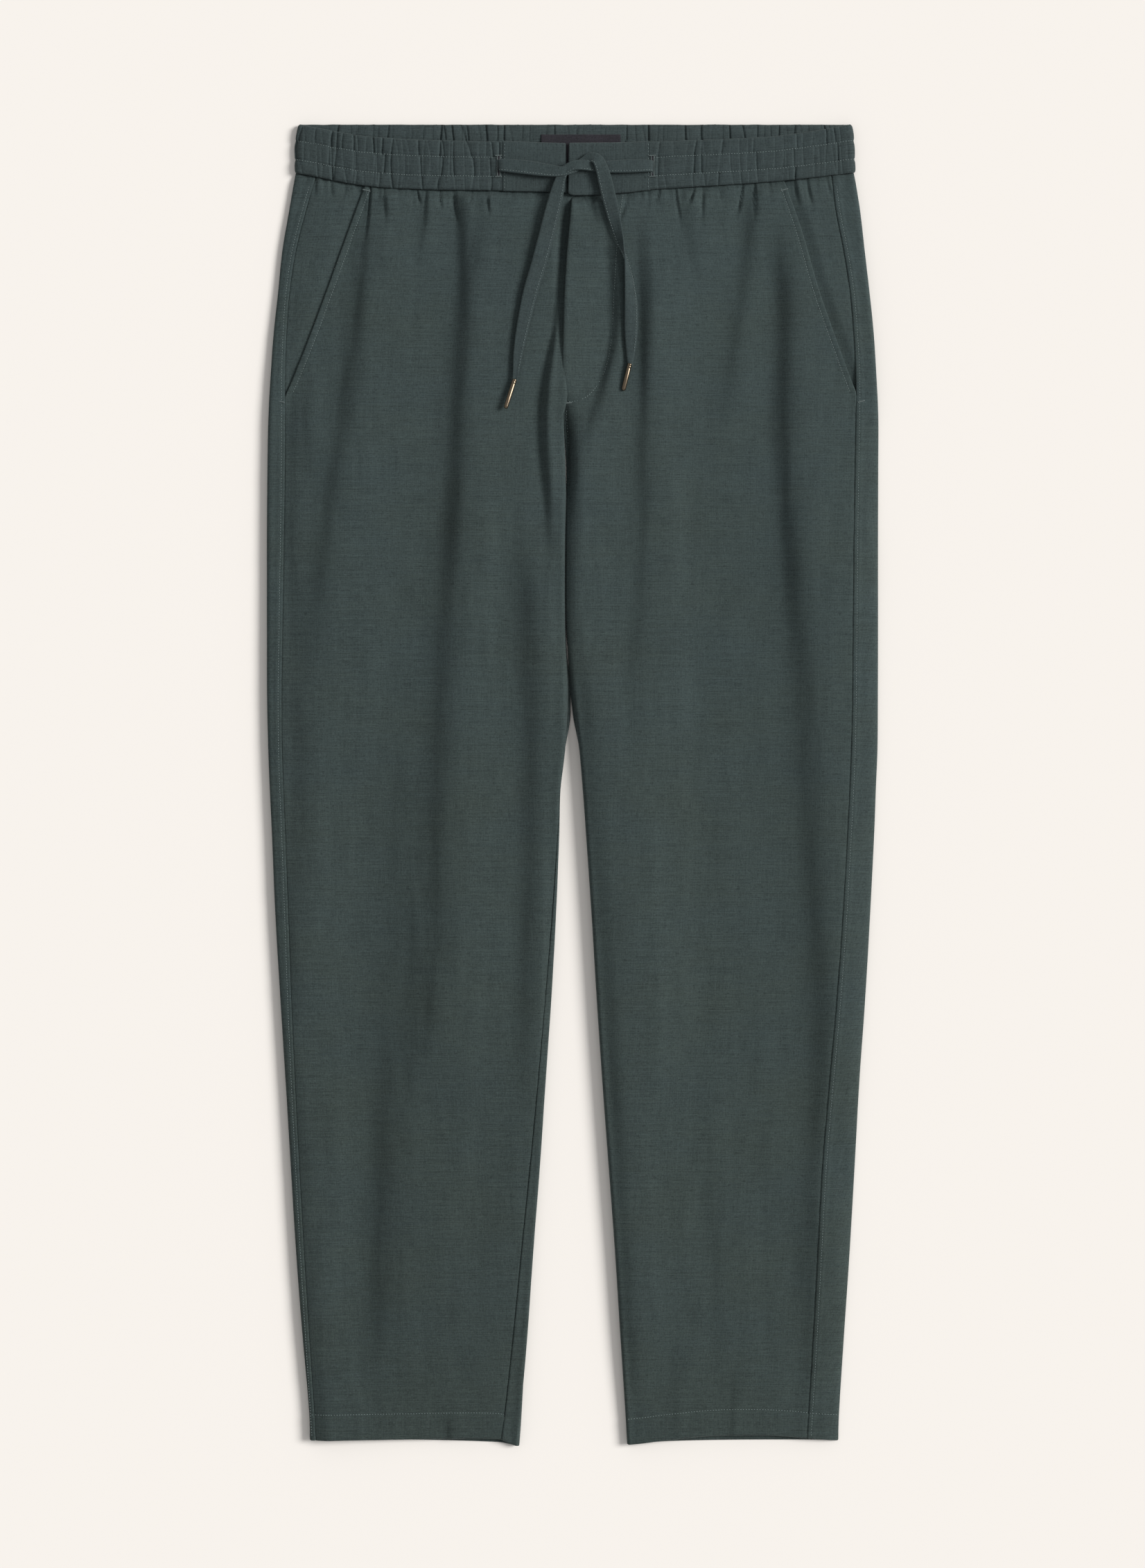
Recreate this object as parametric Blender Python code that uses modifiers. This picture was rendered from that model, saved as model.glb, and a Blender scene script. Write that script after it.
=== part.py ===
"""Drawstring trousers laid flat, front side up: each cut piece of cloth is a wall of its own.

Sizes are in millimetres and the finished meshes in metres. +Z is up, the waist points to +Y, and left and
right are as seen from above. The origin is on the floor, under the middle of the garment's box.

Each half of the garment is a flattened tube. A place on it is a level y and a distance around the tube: 0 on
the outer side edge, rising over the top to the inner edge, then on along the underside to the outer edge
again. Each panel is a stretch of that ring, lofted from the waistband down to the hem.
"""

import math
from collections import namedtuple

import bpy

MM = 0.001
COLLECTION = "drawstring_trousers"

# Cloth
WALL = 1.4  # one layer of cloth
HEM_WALL = 2.0  # cloth with the hem turned up inside
HEM_DEPTH = 23.0
FACING_WALL = 1.2
BAND_WALL = 2.0
LABEL_WALL = 0.8
SEAM_GAP = 0.3
PROBE = 0.4  # half the stretch over which the cloth's slope is taken

# The flattened tube
LAY_HEIGHT = 6.0  # the upper face of the front layer above the floor
LAY_LOWEST = 3.4
LAY_HIGHEST = 6.7
EDGE_REACH = 3.6  # how far in from the outline an edge has rolled over flat
EDGE_ARC = 5.2  # the same stretch measured along the cloth
CROTCH_Y = 255.0
CROTCH_BLEND = 60.0  # above the crotch, the inner edges roll in over this length
HIDDEN_INSEAM = 1.5  # how far under the inner edge an unseen inseam lies
INSEAM_BLEND = 30.0  # it leaves the middle of the edge over this length below the crotch
EDGE_STRIP = 8.0  # the narrow columns beside a panel's inner edge
LEVEL_BLEND = 140.0  # how far from its ends a panel's levels bend
BAND_BLEND = 30.0  # below the waistband, the folds fade in over this length
FLY_RISE = 0.8  # the fly's facing lifts the upper panel
FLY_WIDTH = 40.0
FLY_FOOT = 298.0
FLY_FOOT_BLEND = 16.0

# Columns of the lofted panels
FRONT_COLUMNS = 14
STRIP_COLUMNS = 3
EDGE_COLUMNS = 5
INNER_COLUMNS = 6
INNER_SPREAD = 25.0  # where the back's inner edge isn't rolled in, its columns spread over this width
UNDER_COLUMNS = 3
OUTER_COLUMNS = 3
FACING_COLUMNS = 5

# Waistband
BAND_BACK_TOP = 534.0
BAND_BACK_BOTTOM = 494.5
BAND_TOP_FACE = 5.6
BAND_REACH = 4.0
BAND_ARC = 5.4
BAND_EDGE_LEFT = -223.7
BAND_EDGE_RIGHT = 227.1
BAND_MIDDLE = (BAND_EDGE_LEFT + BAND_EDGE_RIGHT) / 2
BAND_FLARE = 2.8  # the waistband's side edges lean in by this much at the top
BAND_SEAM_LEFT = -56.3  # where the gathered band meets its flat front pieces
BAND_SEAM_RIGHT = 63.0
BAND_OPENING = -3.9  # the front ends meet here
TAB_RISE = 0.4  # the right end lies a little higher than the left one
GATHER_PITCH = 7.0
GATHER_HEIGHT = 0.6
GATHER_STEP = 2.7
GATHER_ROWS = (1.0, 2 / 3, 1 / 3, 0.0)
GATHER_START = 8.0  # beside its front seams the band has no ripple
FLAT_STEPS = 8
OPENING_GAP = 0.6
OPENING_BLEND = 40.0

# Pocket
FACING_TUCK = 4.0  # how far the facing runs in under the pocket's mouth
FACING_DIP = WALL + 0.4
FACING_RAMP = 15.0
FACING_END = 302.0

# Drawstring
TAPE_WALL = 1.2
TAPE_CLEAR = 0.7
TAPE_CROSSING = 1.8
TAPE_OVERHANG = 3.0  # a strand leaves the waistband's level this far below it
TAPE_STEPS = 34
TAPE_ACROSS = (-0.5, 0.0, 0.5)
TAPE_PROBE = 0.05
TIP_RADIUS = 2.0
TIP_SIDES = 12

LABEL_LEFT, LABEL_RIGHT = -25.0, 39.0
LABEL_BOTTOM, LABEL_TOP = 499.0, 525.5
LABEL_UNDERSIDE = 2.6

# A row for each section across the garment. Above the crotch both inner columns are the centre seam.
# Inseam is how far the left leg's inseam lies past its inner edge along the cloth, and negative values are
# on top.
Section = namedtuple("Section", "y left_edge left_seam left_inner right_inner right_seam right_edge inseam")
SECTIONS = (
    Section(497, -224.3, -205.6, 1.5, 1.5, 209.5, 227.2, 1.5),
    Section(465, -228.8, -215.1, 0.2, 0.2, 213.1, 231.6, 1.5),
    Section(432, -234.4, -223.4, -1.7, -1.7, 219.4, 235.5, 1.5),
    Section(398, -237.9, -228.5, -3.4, -3.4, 224.6, 239.4, 1.5),
    Section(365, -241.4, -230.9, -4.5, -4.5, 227.4, 242.8, 1.5),
    Section(330, -243.9, -232.0, -5.6, -5.6, 229.2, 245.0, 1.5),
    Section(298, -245.6, -232.0, -4.9, -4.9, 229.2, 246.6, 1.5),
    Section(255, -246.4, -232.2, -2.6, -1.6, 228.5, 246.6, 1.5),
    Section(200, -246.8, -232.9, -3.6, -2.4, 227.6, 246.4, 1.5),
    Section(130, -246.8, -234.0, -3.7, -2.5, 226.9, 246.4, 1.3),
    Section(75, -246.7, -234.7, 1.2, 2.6, 226.4, 246.3, 0.9),
    Section(30, -245.8, -234.4, 2.9, 4.6, 225.6, 246.0, 0.2),
    Section(-5, -244.4, -233.3, -7.0, 8.4, 224.2, 244.6, -0.8),
    Section(-38, -242.8, -231.9, -10.6, 10.9, 222.5, 243.4, -2.2),
    Section(-105, -240.0, -229.4, -13.9, 15.3, 218.7, 240.0, -4.4),
    Section(-172, -236.0, -227.0, -17.6, 19.4, 213.9, 236.1, -6.2),
    Section(-240, -231.7, -224.0, -22.3, 24.0, 207.9, 231.3, -7.4),
    Section(-307, -227.6, -220.6, -26.8, 29.0, 202.4, 227.6, -9.2),
    Section(-374, -223.5, -216.9, -32.0, 34.0, 198.7, 223.7, -10.8),
    Section(-441, -218.4, -212.8, -36.7, 38.3, 195.2, 219.2, -12.6),
    Section(-508, -212.6, -208.4, -41.6, 42.7, 191.2, 214.9, -15.0),
    Section(-534, -212.0, -206.9, -43.6, 44.2, 189.6, 214.2, -16.4),
)

# Where the waistband's front lies, and where the two layers of each hem end.
BandEdge = namedtuple("BandEdge", "x top bottom")
BAND_FRONT = (
    BandEdge(-224, 533.6, 494.5),
    BandEdge(-160, 523.6, 483.2),
    BandEdge(-56, 519.7, 479.9),
    BandEdge(-6, 518.2, 478.8),
    BandEdge(1, 518.2, 476.4),
    BandEdge(40, 518.8, 478.4),
    BandEdge(63, 519.7, 480.8),
    BandEdge(165, 524.4, 487.6),
    BandEdge(227, 533.6, 494.5),
)
HemEdge = namedtuple("HemEdge", "x front back")
HEMS = (
    HemEdge(-212, -529.2, -529.2),
    HemEdge(-136, -528.6, -529.2),
    HemEdge(-60, -528.3, -531.2),
    HemEdge(-43, -534.0, -534.0),
    HemEdge(44, -532.8, -532.8),
    HemEdge(76, -529.2, -530.6),
    HemEdge(111, -525.8, -529.6),
    HemEdge(158, -525.3, -529.2),
    HemEdge(201, -528.6, -529.4),
    HemEdge(215, -529.8, -529.8),
)

# The slanted pocket mouths, from the waistband down to the side seams.
Mouth = namedtuple("Mouth", "y left right")
MOUTHS = (
    Mouth(488, -166.2, 171.4),
    Mouth(447, -181.2, 185.6),
    Mouth(400, -198.1, 199.0),
    Mouth(360, -213.0, 213.0),
    Mouth(322, -228.4, 227.2),
    Mouth(306, -236.0, 234.0),
)

# The largest folds: soft troughs down the front, through four places at even distances from top to bottom.
Fold = namedtuple("Fold", "top bottom x1 x2 x3 x4 depth width")
FOLDS = (
    Fold(492, 215, -3.0, -9.8, -21.6, -21.6, 2.6, 9),
    Fold(165, -290, -39.0, -32.0, -37.8, -45.0, 1.7, 16),
    Fold(455, 130, -166.6, -179.0, -191.0, -203.6, 2.2, 12),
    Fold(476, -150, -91.6, -92.7, -109.5, -120.7, 2.4, 14),
    Fold(20, -490, -131.9, -144.2, -152.6, -165.5, 2.2, 17),
    Fold(410, 312, 33.3, 31.9, 30.8, 23.8, 1.6, 8),
    Fold(380, 60, 60.0, 55.7, 54.0, 44.5, 2.2, 13),
    Fold(470, 310, 143.5, 139.0, 132.5, 126.0, 1.5, 14),
    Fold(450, -240, 171.4, 173.9, 190.1, 198.5, 2.5, 14),
    Fold(-50, -300, 25.0, 30.0, 34.0, 40.0, 1.6, 14),
    Fold(120, -470, 118.0, 112.0, 121.0, 128.0, 1.2, 20),
)
SHOULDER = 0.3  # a fold's ridges beside its trough, as a share of its depth
FOLD_FADE = 70.0

# The drawstring's two strands, tied once: each starts at its eyelet, crosses over at the knot and hangs as
# a tail.
TapePoint = namedtuple("TapePoint", "x y width over")
STRAND_LEFT = (
    TapePoint(-57.5, 500.6, 10.0, 0),
    TapePoint(-36.0, 498.2, 11.0, 0),
    TapePoint(-14.0, 495.6, 9.0, 0.9),
    TapePoint(3.0, 500.4, 9.0, 1),
    TapePoint(14.5, 505.2, 9.0, 1),
    TapePoint(22.0, 499.5, 9.0, 1),
    TapePoint(25.2, 487.0, 9.5, 1),
    TapePoint(30.4, 472.5, 9.0, 0),
    TapePoint(34.6, 456.5, 8.0, 0),
    TapePoint(39.2, 436.8, 6.5, 0),
    TapePoint(44.6, 420.0, 6.5, 0),
    TapePoint(48.6, 397.0, 8.0, 0),
    TapePoint(47.4, 366.0, 9.0, 0),
    TapePoint(44.9, 341.5, 5.0, 0),
)
STRAND_RIGHT = (
    TapePoint(64.4, 499.5, 10.0, 0),
    TapePoint(46.0, 498.6, 10.0, 0),
    TapePoint(27.7, 497.8, 9.0, 0),
    TapePoint(10.0, 495.4, 9.0, 0),
    TapePoint(-3.5, 489.0, 9.5, 0),
    TapePoint(-11.5, 478.0, 11.0, 0),
    TapePoint(-20.4, 444.6, 12.0, 0),
    TapePoint(-33.3, 397.6, 12.0, 0),
    TapePoint(-43.1, 350.0, 8.0, 0),
    TapePoint(-46.4, 328.5, 5.0, 0),
)
Tip = namedtuple("Tip", "name x1 y1 x2 y2")
TIPS = (
    Tip("tip_right", 44.7, 340.8, 41.0, 318.6),
    Tip("tip_left", -46.6, 327.6, -53.6, 305.4),
)

# Levels of the lofted sections, closer together where the outline turns.
LEVELS = (
    495, 474, 448, 418, 384, 350, 322, 304, 290, 277, 265, 254, 238, 205, 155, 100, 60, 34, 14,
    -4, -22, -42, -64, -95, -150, -235, -320, -410, -480, -507, -529,
)  # fmt: skip


def smooth_step(t):
    t = min(1.0, max(0.0, t))
    return t * t * (3 - 2 * t)


def read(table, key, column):
    """The column's value at key, on a smooth curve through the rows; the first column may rise or fall."""
    rows = table if table[0][0] < table[-1][0] else table[::-1]
    keys = [row[0] for row in rows]
    values = [getattr(row, column) for row in rows]
    key = min(keys[-1], max(keys[0], key))
    i = next(n for n in range(len(keys) - 1) if key <= keys[n + 1])

    def slope(n):
        a, b = max(0, n - 1), min(len(keys) - 1, n + 1)
        return (values[b] - values[a]) / (keys[b] - keys[a])

    step = keys[i + 1] - keys[i]
    t = (key - keys[i]) / step
    return (
        (2 * t**3 - 3 * t**2 + 1) * values[i]
        + (t**3 - 2 * t**2 + t) * step * slope(i)
        + (3 * t**2 - 2 * t**3) * values[i + 1]
        + (t**3 - t**2) * step * slope(i + 1)
    )


def curve_between(before, start, end, after, t):
    """A smooth curve from start to end that heads on past its neighbours."""
    return 0.5 * (
        2 * start
        + (end - before) * t
        + (2 * before - 5 * start + 4 * end - after) * t**2
        + (3 * start - before - 3 * end + after) * t**3
    )


def fold_x(fold, y):
    """Where the fold's trough is at this level."""
    t = 3 * min(1.0, max(0.0, (fold.top - y) / (fold.top - fold.bottom)))
    i = min(2, int(t))
    places = (fold.x1, fold.x1, fold.x2, fold.x3, fold.x4, fold.x4)
    return curve_between(*places[i : i + 4], t - i)


def fold_depth(fold, x, y):
    """The fold's change of height: a trough with a low ridge on each side, fading in at both ends."""
    if not fold.bottom < y < fold.top:
        return 0.0
    length = fold.top - fold.bottom
    fade = min(length / 3, FOLD_FADE)
    strength = smooth_step((fold.top - y) / fade) * smooth_step((y - fold.bottom) / fade)
    across = (x - fold_x(fold, y)) / fold.width
    trough = math.exp(-across * across)
    ridges = math.exp(-((abs(across) - 2.0) ** 2))
    return fold.depth * strength * (SHOULDER * ridges - trough)


def lay(x, y):
    """The height of the front layer's upper face, away from the edges."""
    height = LAY_HEIGHT + sum(fold_depth(fold, x, y) for fold in FOLDS)
    height = min(LAY_HIGHEST, max(LAY_LOWEST, height))
    at_band = smooth_step(1 - (band_y(x, "bottom") - y) / BAND_BLEND)
    return height + (BAND_TOP_FACE - height) * at_band


def fly_rise(x, y):
    """What the fly adds on the right half: most at its edge, nothing past its curved row of stitches."""
    foot = smooth_step((y - FLY_FOOT) / FLY_FOOT_BLEND)
    return FLY_RISE * foot * smooth_step(1 - (x - BAND_OPENING) / FLY_WIDTH)


def band_y(x, edge):
    return read(BAND_FRONT, x, edge)


def rolled_in(y):
    """0 where front and back are still parted at the centre seams, 1 where the inner edges are closed."""
    return smooth_step((CROTCH_Y + CROTCH_BLEND - y) / CROTCH_BLEND)


class Half:
    """The left or right half of the garment as a flattened tube."""

    def __init__(self, name):
        self.name = name
        self.sign = -1 if name == "left" else 1

    def edges(self, y):
        """The outer and inner ends of the tube in x."""
        outer = read(SECTIONS, y, self.name + "_edge")
        seam = read(SECTIONS, y, self.name + "_inner")
        unrolled = EDGE_REACH * (1 - math.cos(math.radians(90) * (1 - rolled_in(y))))
        return outer, seam - self.sign * unrolled

    def around(self, y):
        """The length of the tube's upper side along the cloth."""
        outer, inner = self.edges(y)
        return abs(outer - inner) - 2 * EDGE_REACH + 2 * EDGE_ARC

    def place_of(self, x, y):
        """How far around the tube a point of the upper side is."""
        inset = abs(x - self.edges(y)[0])
        if inset >= EDGE_REACH:
            return EDGE_ARC + inset - EDGE_REACH
        return EDGE_ARC * math.acos(1 - inset / EDGE_REACH) / (math.pi / 2)

    def point(self, place, y):
        """(x, z, on top) of the outer face of the cloth at this distance around the tube."""
        outer, inner = self.edges(y)
        length = self.around(y)
        place = place % (2 * length)
        on_top = place <= length
        run = place if on_top else 2 * length - place
        near = min(run, length - run)
        roll = math.radians(90) * min(1.0, near / EDGE_ARC)
        inset = EDGE_REACH * (1 - math.cos(roll)) + max(0.0, near - EDGE_ARC)
        x = outer - self.sign * inset if run < length / 2 else inner + self.sign * inset
        top = lay(x, y)
        if self.name == "right":
            top += fly_rise(x, y)
        z = top / 2 * (1 + math.sin(roll)) if on_top else top / 2 * (1 - math.sin(roll))
        return x, z, on_top

    def side_seam(self, y):
        return self.place_of(read(SECTIONS, y, self.name + "_seam"), y)

    def mouth(self, y):
        """The pocket mouth's place, which below its foot is the side seam."""
        seam = self.side_seam(y)
        if y < MOUTHS[-1].y:
            return seam
        return max(seam, self.place_of(read(MOUTHS, y, self.name), y))

    def inner_end(self, y, side):
        """Where the panel ends inside: at the centre seam above the crotch, at the inseam below it. Side is
        -1 for the front panel and 1 for the back."""
        length = self.around(y)
        inseam = read(SECTIONS, y, "inseam") if self.name == "left" else HIDDEN_INSEAM
        parted = side * EDGE_ARC * (1 - rolled_in(y))
        return length + parted + inseam * smooth_step((CROTCH_Y - y) / INSEAM_BLEND) + side * SEAM_GAP / 2

    def wall(self, place, y, thickness):
        """The way from the outer face of the cloth to its inner face, square to the tube."""
        x1, z1, _ = self.point(place - PROBE, y)
        x2, z2, _ = self.point(place + PROBE, y)
        length = self.sign * thickness / math.hypot(x2 - x1, z2 - z1)
        return (z1 - z2) * length, (x2 - x1) * length


def level_y(t, x, on_top):
    """The y of a share t of the way from the waistband to the hem. The levels are straight across, and bend
    to follow the waistband's seam and the hems near their ends."""
    straight = LEVELS[0] + (LEVELS[-1] - LEVELS[0]) * t
    top = band_y(x, "bottom") if on_top else BAND_BACK_BOTTOM
    hem = read(HEMS, x, "front" if on_top else "back")
    at_top = smooth_step(1 - (LEVELS[0] - straight) / LEVEL_BLEND)
    at_hem = smooth_step(1 - (straight - LEVELS[-1]) / LEVEL_BLEND)
    return straight + (top - SEAM_GAP / 2 - LEVELS[0]) * at_top + (hem - LEVELS[-1]) * at_hem


def settled(half, place_at, t):
    """(place, x, y, z) of a place on a half, whose level depends a little on its own x."""
    y = LEVELS[0] + (LEVELS[-1] - LEVELS[0]) * t
    for _ in range(3):
        x, _, on_top = half.point(place_at(y), y)
        y = level_y(t, x, on_top)
    x, z, _ = half.point(place_at(y), y)
    return place_at(y), x, y, z


def spread(stretches):
    """Column places from (start, end, count) stretches that follow one another."""
    places = []
    for start, end, count in stretches:
        places += [start + (end - start) * n / count for n in range(count)]
    return places + [stretches[-1][1]]


def front_columns(half, y):
    start = max(half.side_seam(y), half.mouth(y)) + SEAM_GAP / 2
    end = half.inner_end(y, -1)
    return spread(((start, end - EDGE_STRIP, FRONT_COLUMNS), (end - EDGE_STRIP, end, STRIP_COLUMNS)))


def back_columns(half, y):
    length = half.around(y)
    start = half.inner_end(y, 1)
    under = length + EDGE_ARC + INNER_SPREAD * (1 - rolled_in(y))
    edge_start = 2 * length - EDGE_ARC
    edge_end = 2 * length + EDGE_ARC
    end = 2 * length + half.side_seam(y) - SEAM_GAP / 2
    return spread(
        (
            (start, under, INNER_COLUMNS),
            (under, edge_start, UNDER_COLUMNS),
            (edge_start, edge_end, EDGE_COLUMNS),
            (edge_end, end, OUTER_COLUMNS),
        )
    )


def facing_columns(half, y):
    return spread(((half.side_seam(y) + SEAM_GAP / 2, half.mouth(y) + FACING_TUCK, FACING_COLUMNS),))


def loft(half, columns, lowest):
    """Rows of (place, x, y, z) through a panel's columns, at the levels down to the lowest."""
    height = LEVELS[0] - LEVELS[-1]
    across = range(len(columns(half, 0.0)))
    return [
        [settled(half, lambda y, c=c: columns(half, y)[c], (LEVELS[0] - level) / height) for c in across]
        for level in LEVELS
        if level >= lowest
    ]


def material(name, colour, roughness, metallic=0.0):
    made = bpy.data.materials.new(name)
    made.use_nodes = True
    shader = made.node_tree.nodes["Principled BSDF"]
    shader.inputs["Base Color"].default_value = (*colour, 1.0)
    shader.inputs["Roughness"].default_value = roughness
    shader.inputs["Metallic"].default_value = metallic
    return made


def link_mesh(name, points, faces, finish):
    """A new object of the garment's collection from points in millimetres."""
    mesh = bpy.data.meshes.new(name)
    mesh.from_pydata([(x * MM, y * MM, z * MM) for x, y, z in points], [], faces)
    mesh.materials.append(finish)
    mesh.shade_smooth()
    mesh.update()
    made = bpy.data.objects.new(name, mesh)
    bpy.data.collections[COLLECTION].objects.link(made)
    return made


def grid_faces(rows, across, flip):
    faces = []
    for r in range(rows - 1):
        for c in range(across - 1):
            corner = r * across + c
            face = (corner, corner + across, corner + across + 1, corner + 1)
            faces.append(face[::-1] if flip else face)
    return faces


def rim(rows, across):
    """The numbers of a grid's border points, in order round it."""
    down = [r * across for r in range(rows)]
    along = [(rows - 1) * across + c for c in range(1, across)]
    up = [r * across + across - 1 for r in range(rows - 2, -1, -1)]
    back = list(range(across - 2, 0, -1))
    return down + along + up + back


def make_panel(half, piece, columns, finish):
    """A front or back panel, its wall thicker where the hem is turned up. Both faces are lofted, so that a
    seam in a rolled edge is cut square to the tube and meets its neighbour's."""
    rows = loft(half, columns, LEVELS[-1])
    outer = []
    inner = []
    for row in rows:
        for place, x, y, z in row:
            in_hem = y < LEVELS[-1] + HEM_DEPTH
            dx, dz = half.wall(place, y, HEM_WALL if in_hem else WALL)
            outer.append((x, y, z))
            inner.append((x + dx, y, z + dz))
    flip = half.name == "right"
    count = len(outer)
    faces = grid_faces(len(rows), len(rows[0]), flip)
    faces += [tuple(count + n for n in face[::-1]) for face in faces]
    border = rim(len(rows), len(rows[0]))
    for a, b in zip(border, border[1:] + border[:1]):
        side = (b, a, a + count, b + count)
        faces.append(side[::-1] if flip else side)
    link_mesh(f"{piece}_{half.name}", outer + inner, faces, finish)


def sheet(name, grid, thickness, finish, weights=None, flip=False):
    """An open surface through a grid of outer points, given its wall by Solidify."""
    points = [point for row in grid for point in row]
    made = link_mesh(name, points, grid_faces(len(grid), len(grid[0]), flip), finish)
    wall = made.modifiers.new("wall", "SOLIDIFY")
    wall.thickness = thickness * MM
    wall.offset = -1.0
    wall.use_quality_normals = True
    if weights:
        group = made.vertex_groups.new(name="wall")
        for number, weight in enumerate(weights):
            group.add([number], weight, "REPLACE")
        wall.vertex_group = group.name
    return made


def make_facing(half, finish):
    """The piece seen between the pocket's mouth and the side seam: it dips in under the mouth's edge."""
    grid = []
    for row in loft(half, facing_columns, FACING_END):
        points = []
        for _, x, y, z in row:
            mouth_x, _, _ = half.point(half.mouth(y), y)
            covered = 1 - smooth_step(half.sign * (x - mouth_x) / FACING_RAMP)
            points.append((x, y, z - FACING_DIP * covered))
        grid.append(points)
    return sheet(f"pocket_facing_{half.name}", grid, FACING_WALL, finish, flip=half.name == "right")


def gather(along, row_share):
    """The uneven ripple of elasticated cloth, from -1 to 1: its waves drift in pitch, and their height
    varies along the band and from its top to its bottom edge."""
    drift = 0.35 * math.sin(along / 31.0) + 0.22 * math.sin(along / 11.7 + 1.0)
    uneven = 0.75 + 0.25 * math.sin(along / 5.3 + 2.0 * row_share)
    return math.sin(2 * math.pi * (along / GATHER_PITCH + drift)) * uneven


def band_places():
    """The gathered band from its left front seam round the back to its right one: (distance to the nearer
    seam, distance from the left one, x, roll) at even steps. Roll is the angle up from an edge's middle."""
    front_left = BAND_SEAM_LEFT - SEAM_GAP / 2 - (BAND_EDGE_LEFT + BAND_REACH)
    back = BAND_EDGE_RIGHT - BAND_EDGE_LEFT - 2 * BAND_REACH
    front_right = BAND_EDGE_RIGHT - BAND_REACH - BAND_SEAM_RIGHT - SEAM_GAP / 2
    total = front_left + 2 * BAND_ARC + back + 2 * BAND_ARC + front_right
    count = round(total / GATHER_STEP)
    places = []
    for n in range(count + 1):
        s = total * n / count
        left_edge = s - front_left
        under = left_edge - 2 * BAND_ARC
        right_edge = under - back
        if left_edge <= 0:
            x, roll = BAND_SEAM_LEFT - SEAM_GAP / 2 - s, 90.0
        elif under <= 0:
            roll = 90.0 - 90.0 * left_edge / BAND_ARC
            x = BAND_EDGE_LEFT + BAND_REACH * (1 - math.cos(math.radians(roll)))
        elif right_edge <= 0:
            x, roll = BAND_EDGE_LEFT + BAND_REACH + under, -90.0
        elif right_edge <= 2 * BAND_ARC:
            roll = -90.0 + 90.0 * right_edge / BAND_ARC
            x = BAND_EDGE_RIGHT - BAND_REACH * (1 - math.cos(math.radians(roll)))
        else:
            x, roll = BAND_EDGE_RIGHT - BAND_REACH - (right_edge - 2 * BAND_ARC), 90.0
        places.append((min(s, total - s), s, x, roll))
    return places


def band_row(x, on_top, share):
    """The y of a share of the way up the band, clear of the panels below it."""
    if on_top:
        bottom, top = band_y(x, "bottom"), band_y(x, "top")
    else:
        bottom, top = BAND_BACK_BOTTOM, BAND_BACK_TOP
    bottom += SEAM_GAP / 2
    return bottom + (top - bottom) * share


def make_gathered_band(finish):
    """The elasticated part of the waistband, in one piece round the back."""
    grid = []
    weights = []
    for share in GATHER_ROWS:
        row = []
        for from_seam, s, x, roll in band_places():
            up = (1 + math.sin(math.radians(roll))) / 2
            ripple = gather(s, share) * smooth_step(from_seam / GATHER_START)
            aside = (x - BAND_MIDDLE) / (BAND_EDGE_RIGHT - BAND_MIDDLE)
            lean = -BAND_FLARE * share**3 * aside**7
            z = BAND_TOP_FACE * up + GATHER_HEIGHT * ripple * max(0.0, 2 * up - 1)
            row.append((x + lean, band_row(x, up >= 0.5, share), z))
            weights.append(1.0 if up > 0.5 else 0.86 + 0.14 * ripple)
        grid.append(row)
    return sheet("waistband_elastic", grid, BAND_WALL, finish, weights, flip=True)


def make_flat_band(name, start, end, rise, finish):
    """A flat front end of the waistband."""
    grid = []
    for share in (1.0, 0.5, 0.0):
        row = []
        for n in range(FLAT_STEPS + 1):
            x = start + (end - start) * n / FLAT_STEPS
            near_opening = smooth_step(1 - abs(x - BAND_OPENING) / OPENING_BLEND)
            row.append((x, band_row(x, True, share), BAND_TOP_FACE + rise * near_opening))
        grid.append(row)
    return sheet(name, grid, BAND_WALL, finish)


def make_label(finish):
    """A blank ribbon stitched inside the back of the waistband."""
    grid = []
    top_face = LABEL_UNDERSIDE + LABEL_WALL
    for y in (LABEL_TOP, LABEL_BOTTOM):
        grid.append([(x, y, top_face) for x in (LABEL_LEFT, LABEL_RIGHT)])
    return sheet("label", grid, LABEL_WALL, finish)


def front_face(x, y):
    """The highest cloth of the front side at a point: the waistband or a panel."""
    if y > band_y(x, "bottom") - TAPE_OVERHANG:
        return BAND_TOP_FACE + (TAB_RISE if BAND_SEAM_LEFT < x < BAND_SEAM_RIGHT else GATHER_HEIGHT)
    on_right = x > read(SECTIONS, y, "right_inner") - OPENING_GAP
    return lay(x, y) + (fly_rise(x, y) if on_right else 0.0)


def curve_at(points, column, t):
    """A column of evenly numbered points on a smooth curve, t counted in points."""
    i = min(len(points) - 2, int(t))
    values = [getattr(points[min(len(points) - 1, max(0, n))], column) for n in range(i - 1, i + 3)]
    return curve_between(*values, t - i)


def make_tape(name, points, finish):
    """A strand of the flat drawstring, laid on the front, its points moved out from the cloth under it."""
    grid = []
    for n in range(TAPE_STEPS + 1):
        t = (len(points) - 1) * n / TAPE_STEPS
        x, y, width, over = (curve_at(points, column, t) for column in ("x", "y", "width", "over"))
        ahead = min(len(points) - 1, t + TAPE_PROBE)
        behind = max(0.0, t - TAPE_PROBE)
        dx = curve_at(points, "x", ahead) - curve_at(points, "x", behind)
        dy = curve_at(points, "y", ahead) - curve_at(points, "y", behind)
        run = math.hypot(dx, dy)
        side_x, side_y = -dy / run, dx / run
        offsets = [width * share for share in TAPE_ACROSS]
        under = max(front_face(x + o * side_x, y + o * side_y) for o in offsets)
        z = under + TAPE_CLEAR + TAPE_WALL + TAPE_CROSSING * min(1.0, max(0.0, over))
        grid.append([(x + o * side_x, y + o * side_y, z) for o in offsets])
    return sheet(name, grid, TAPE_WALL, finish)


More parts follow.
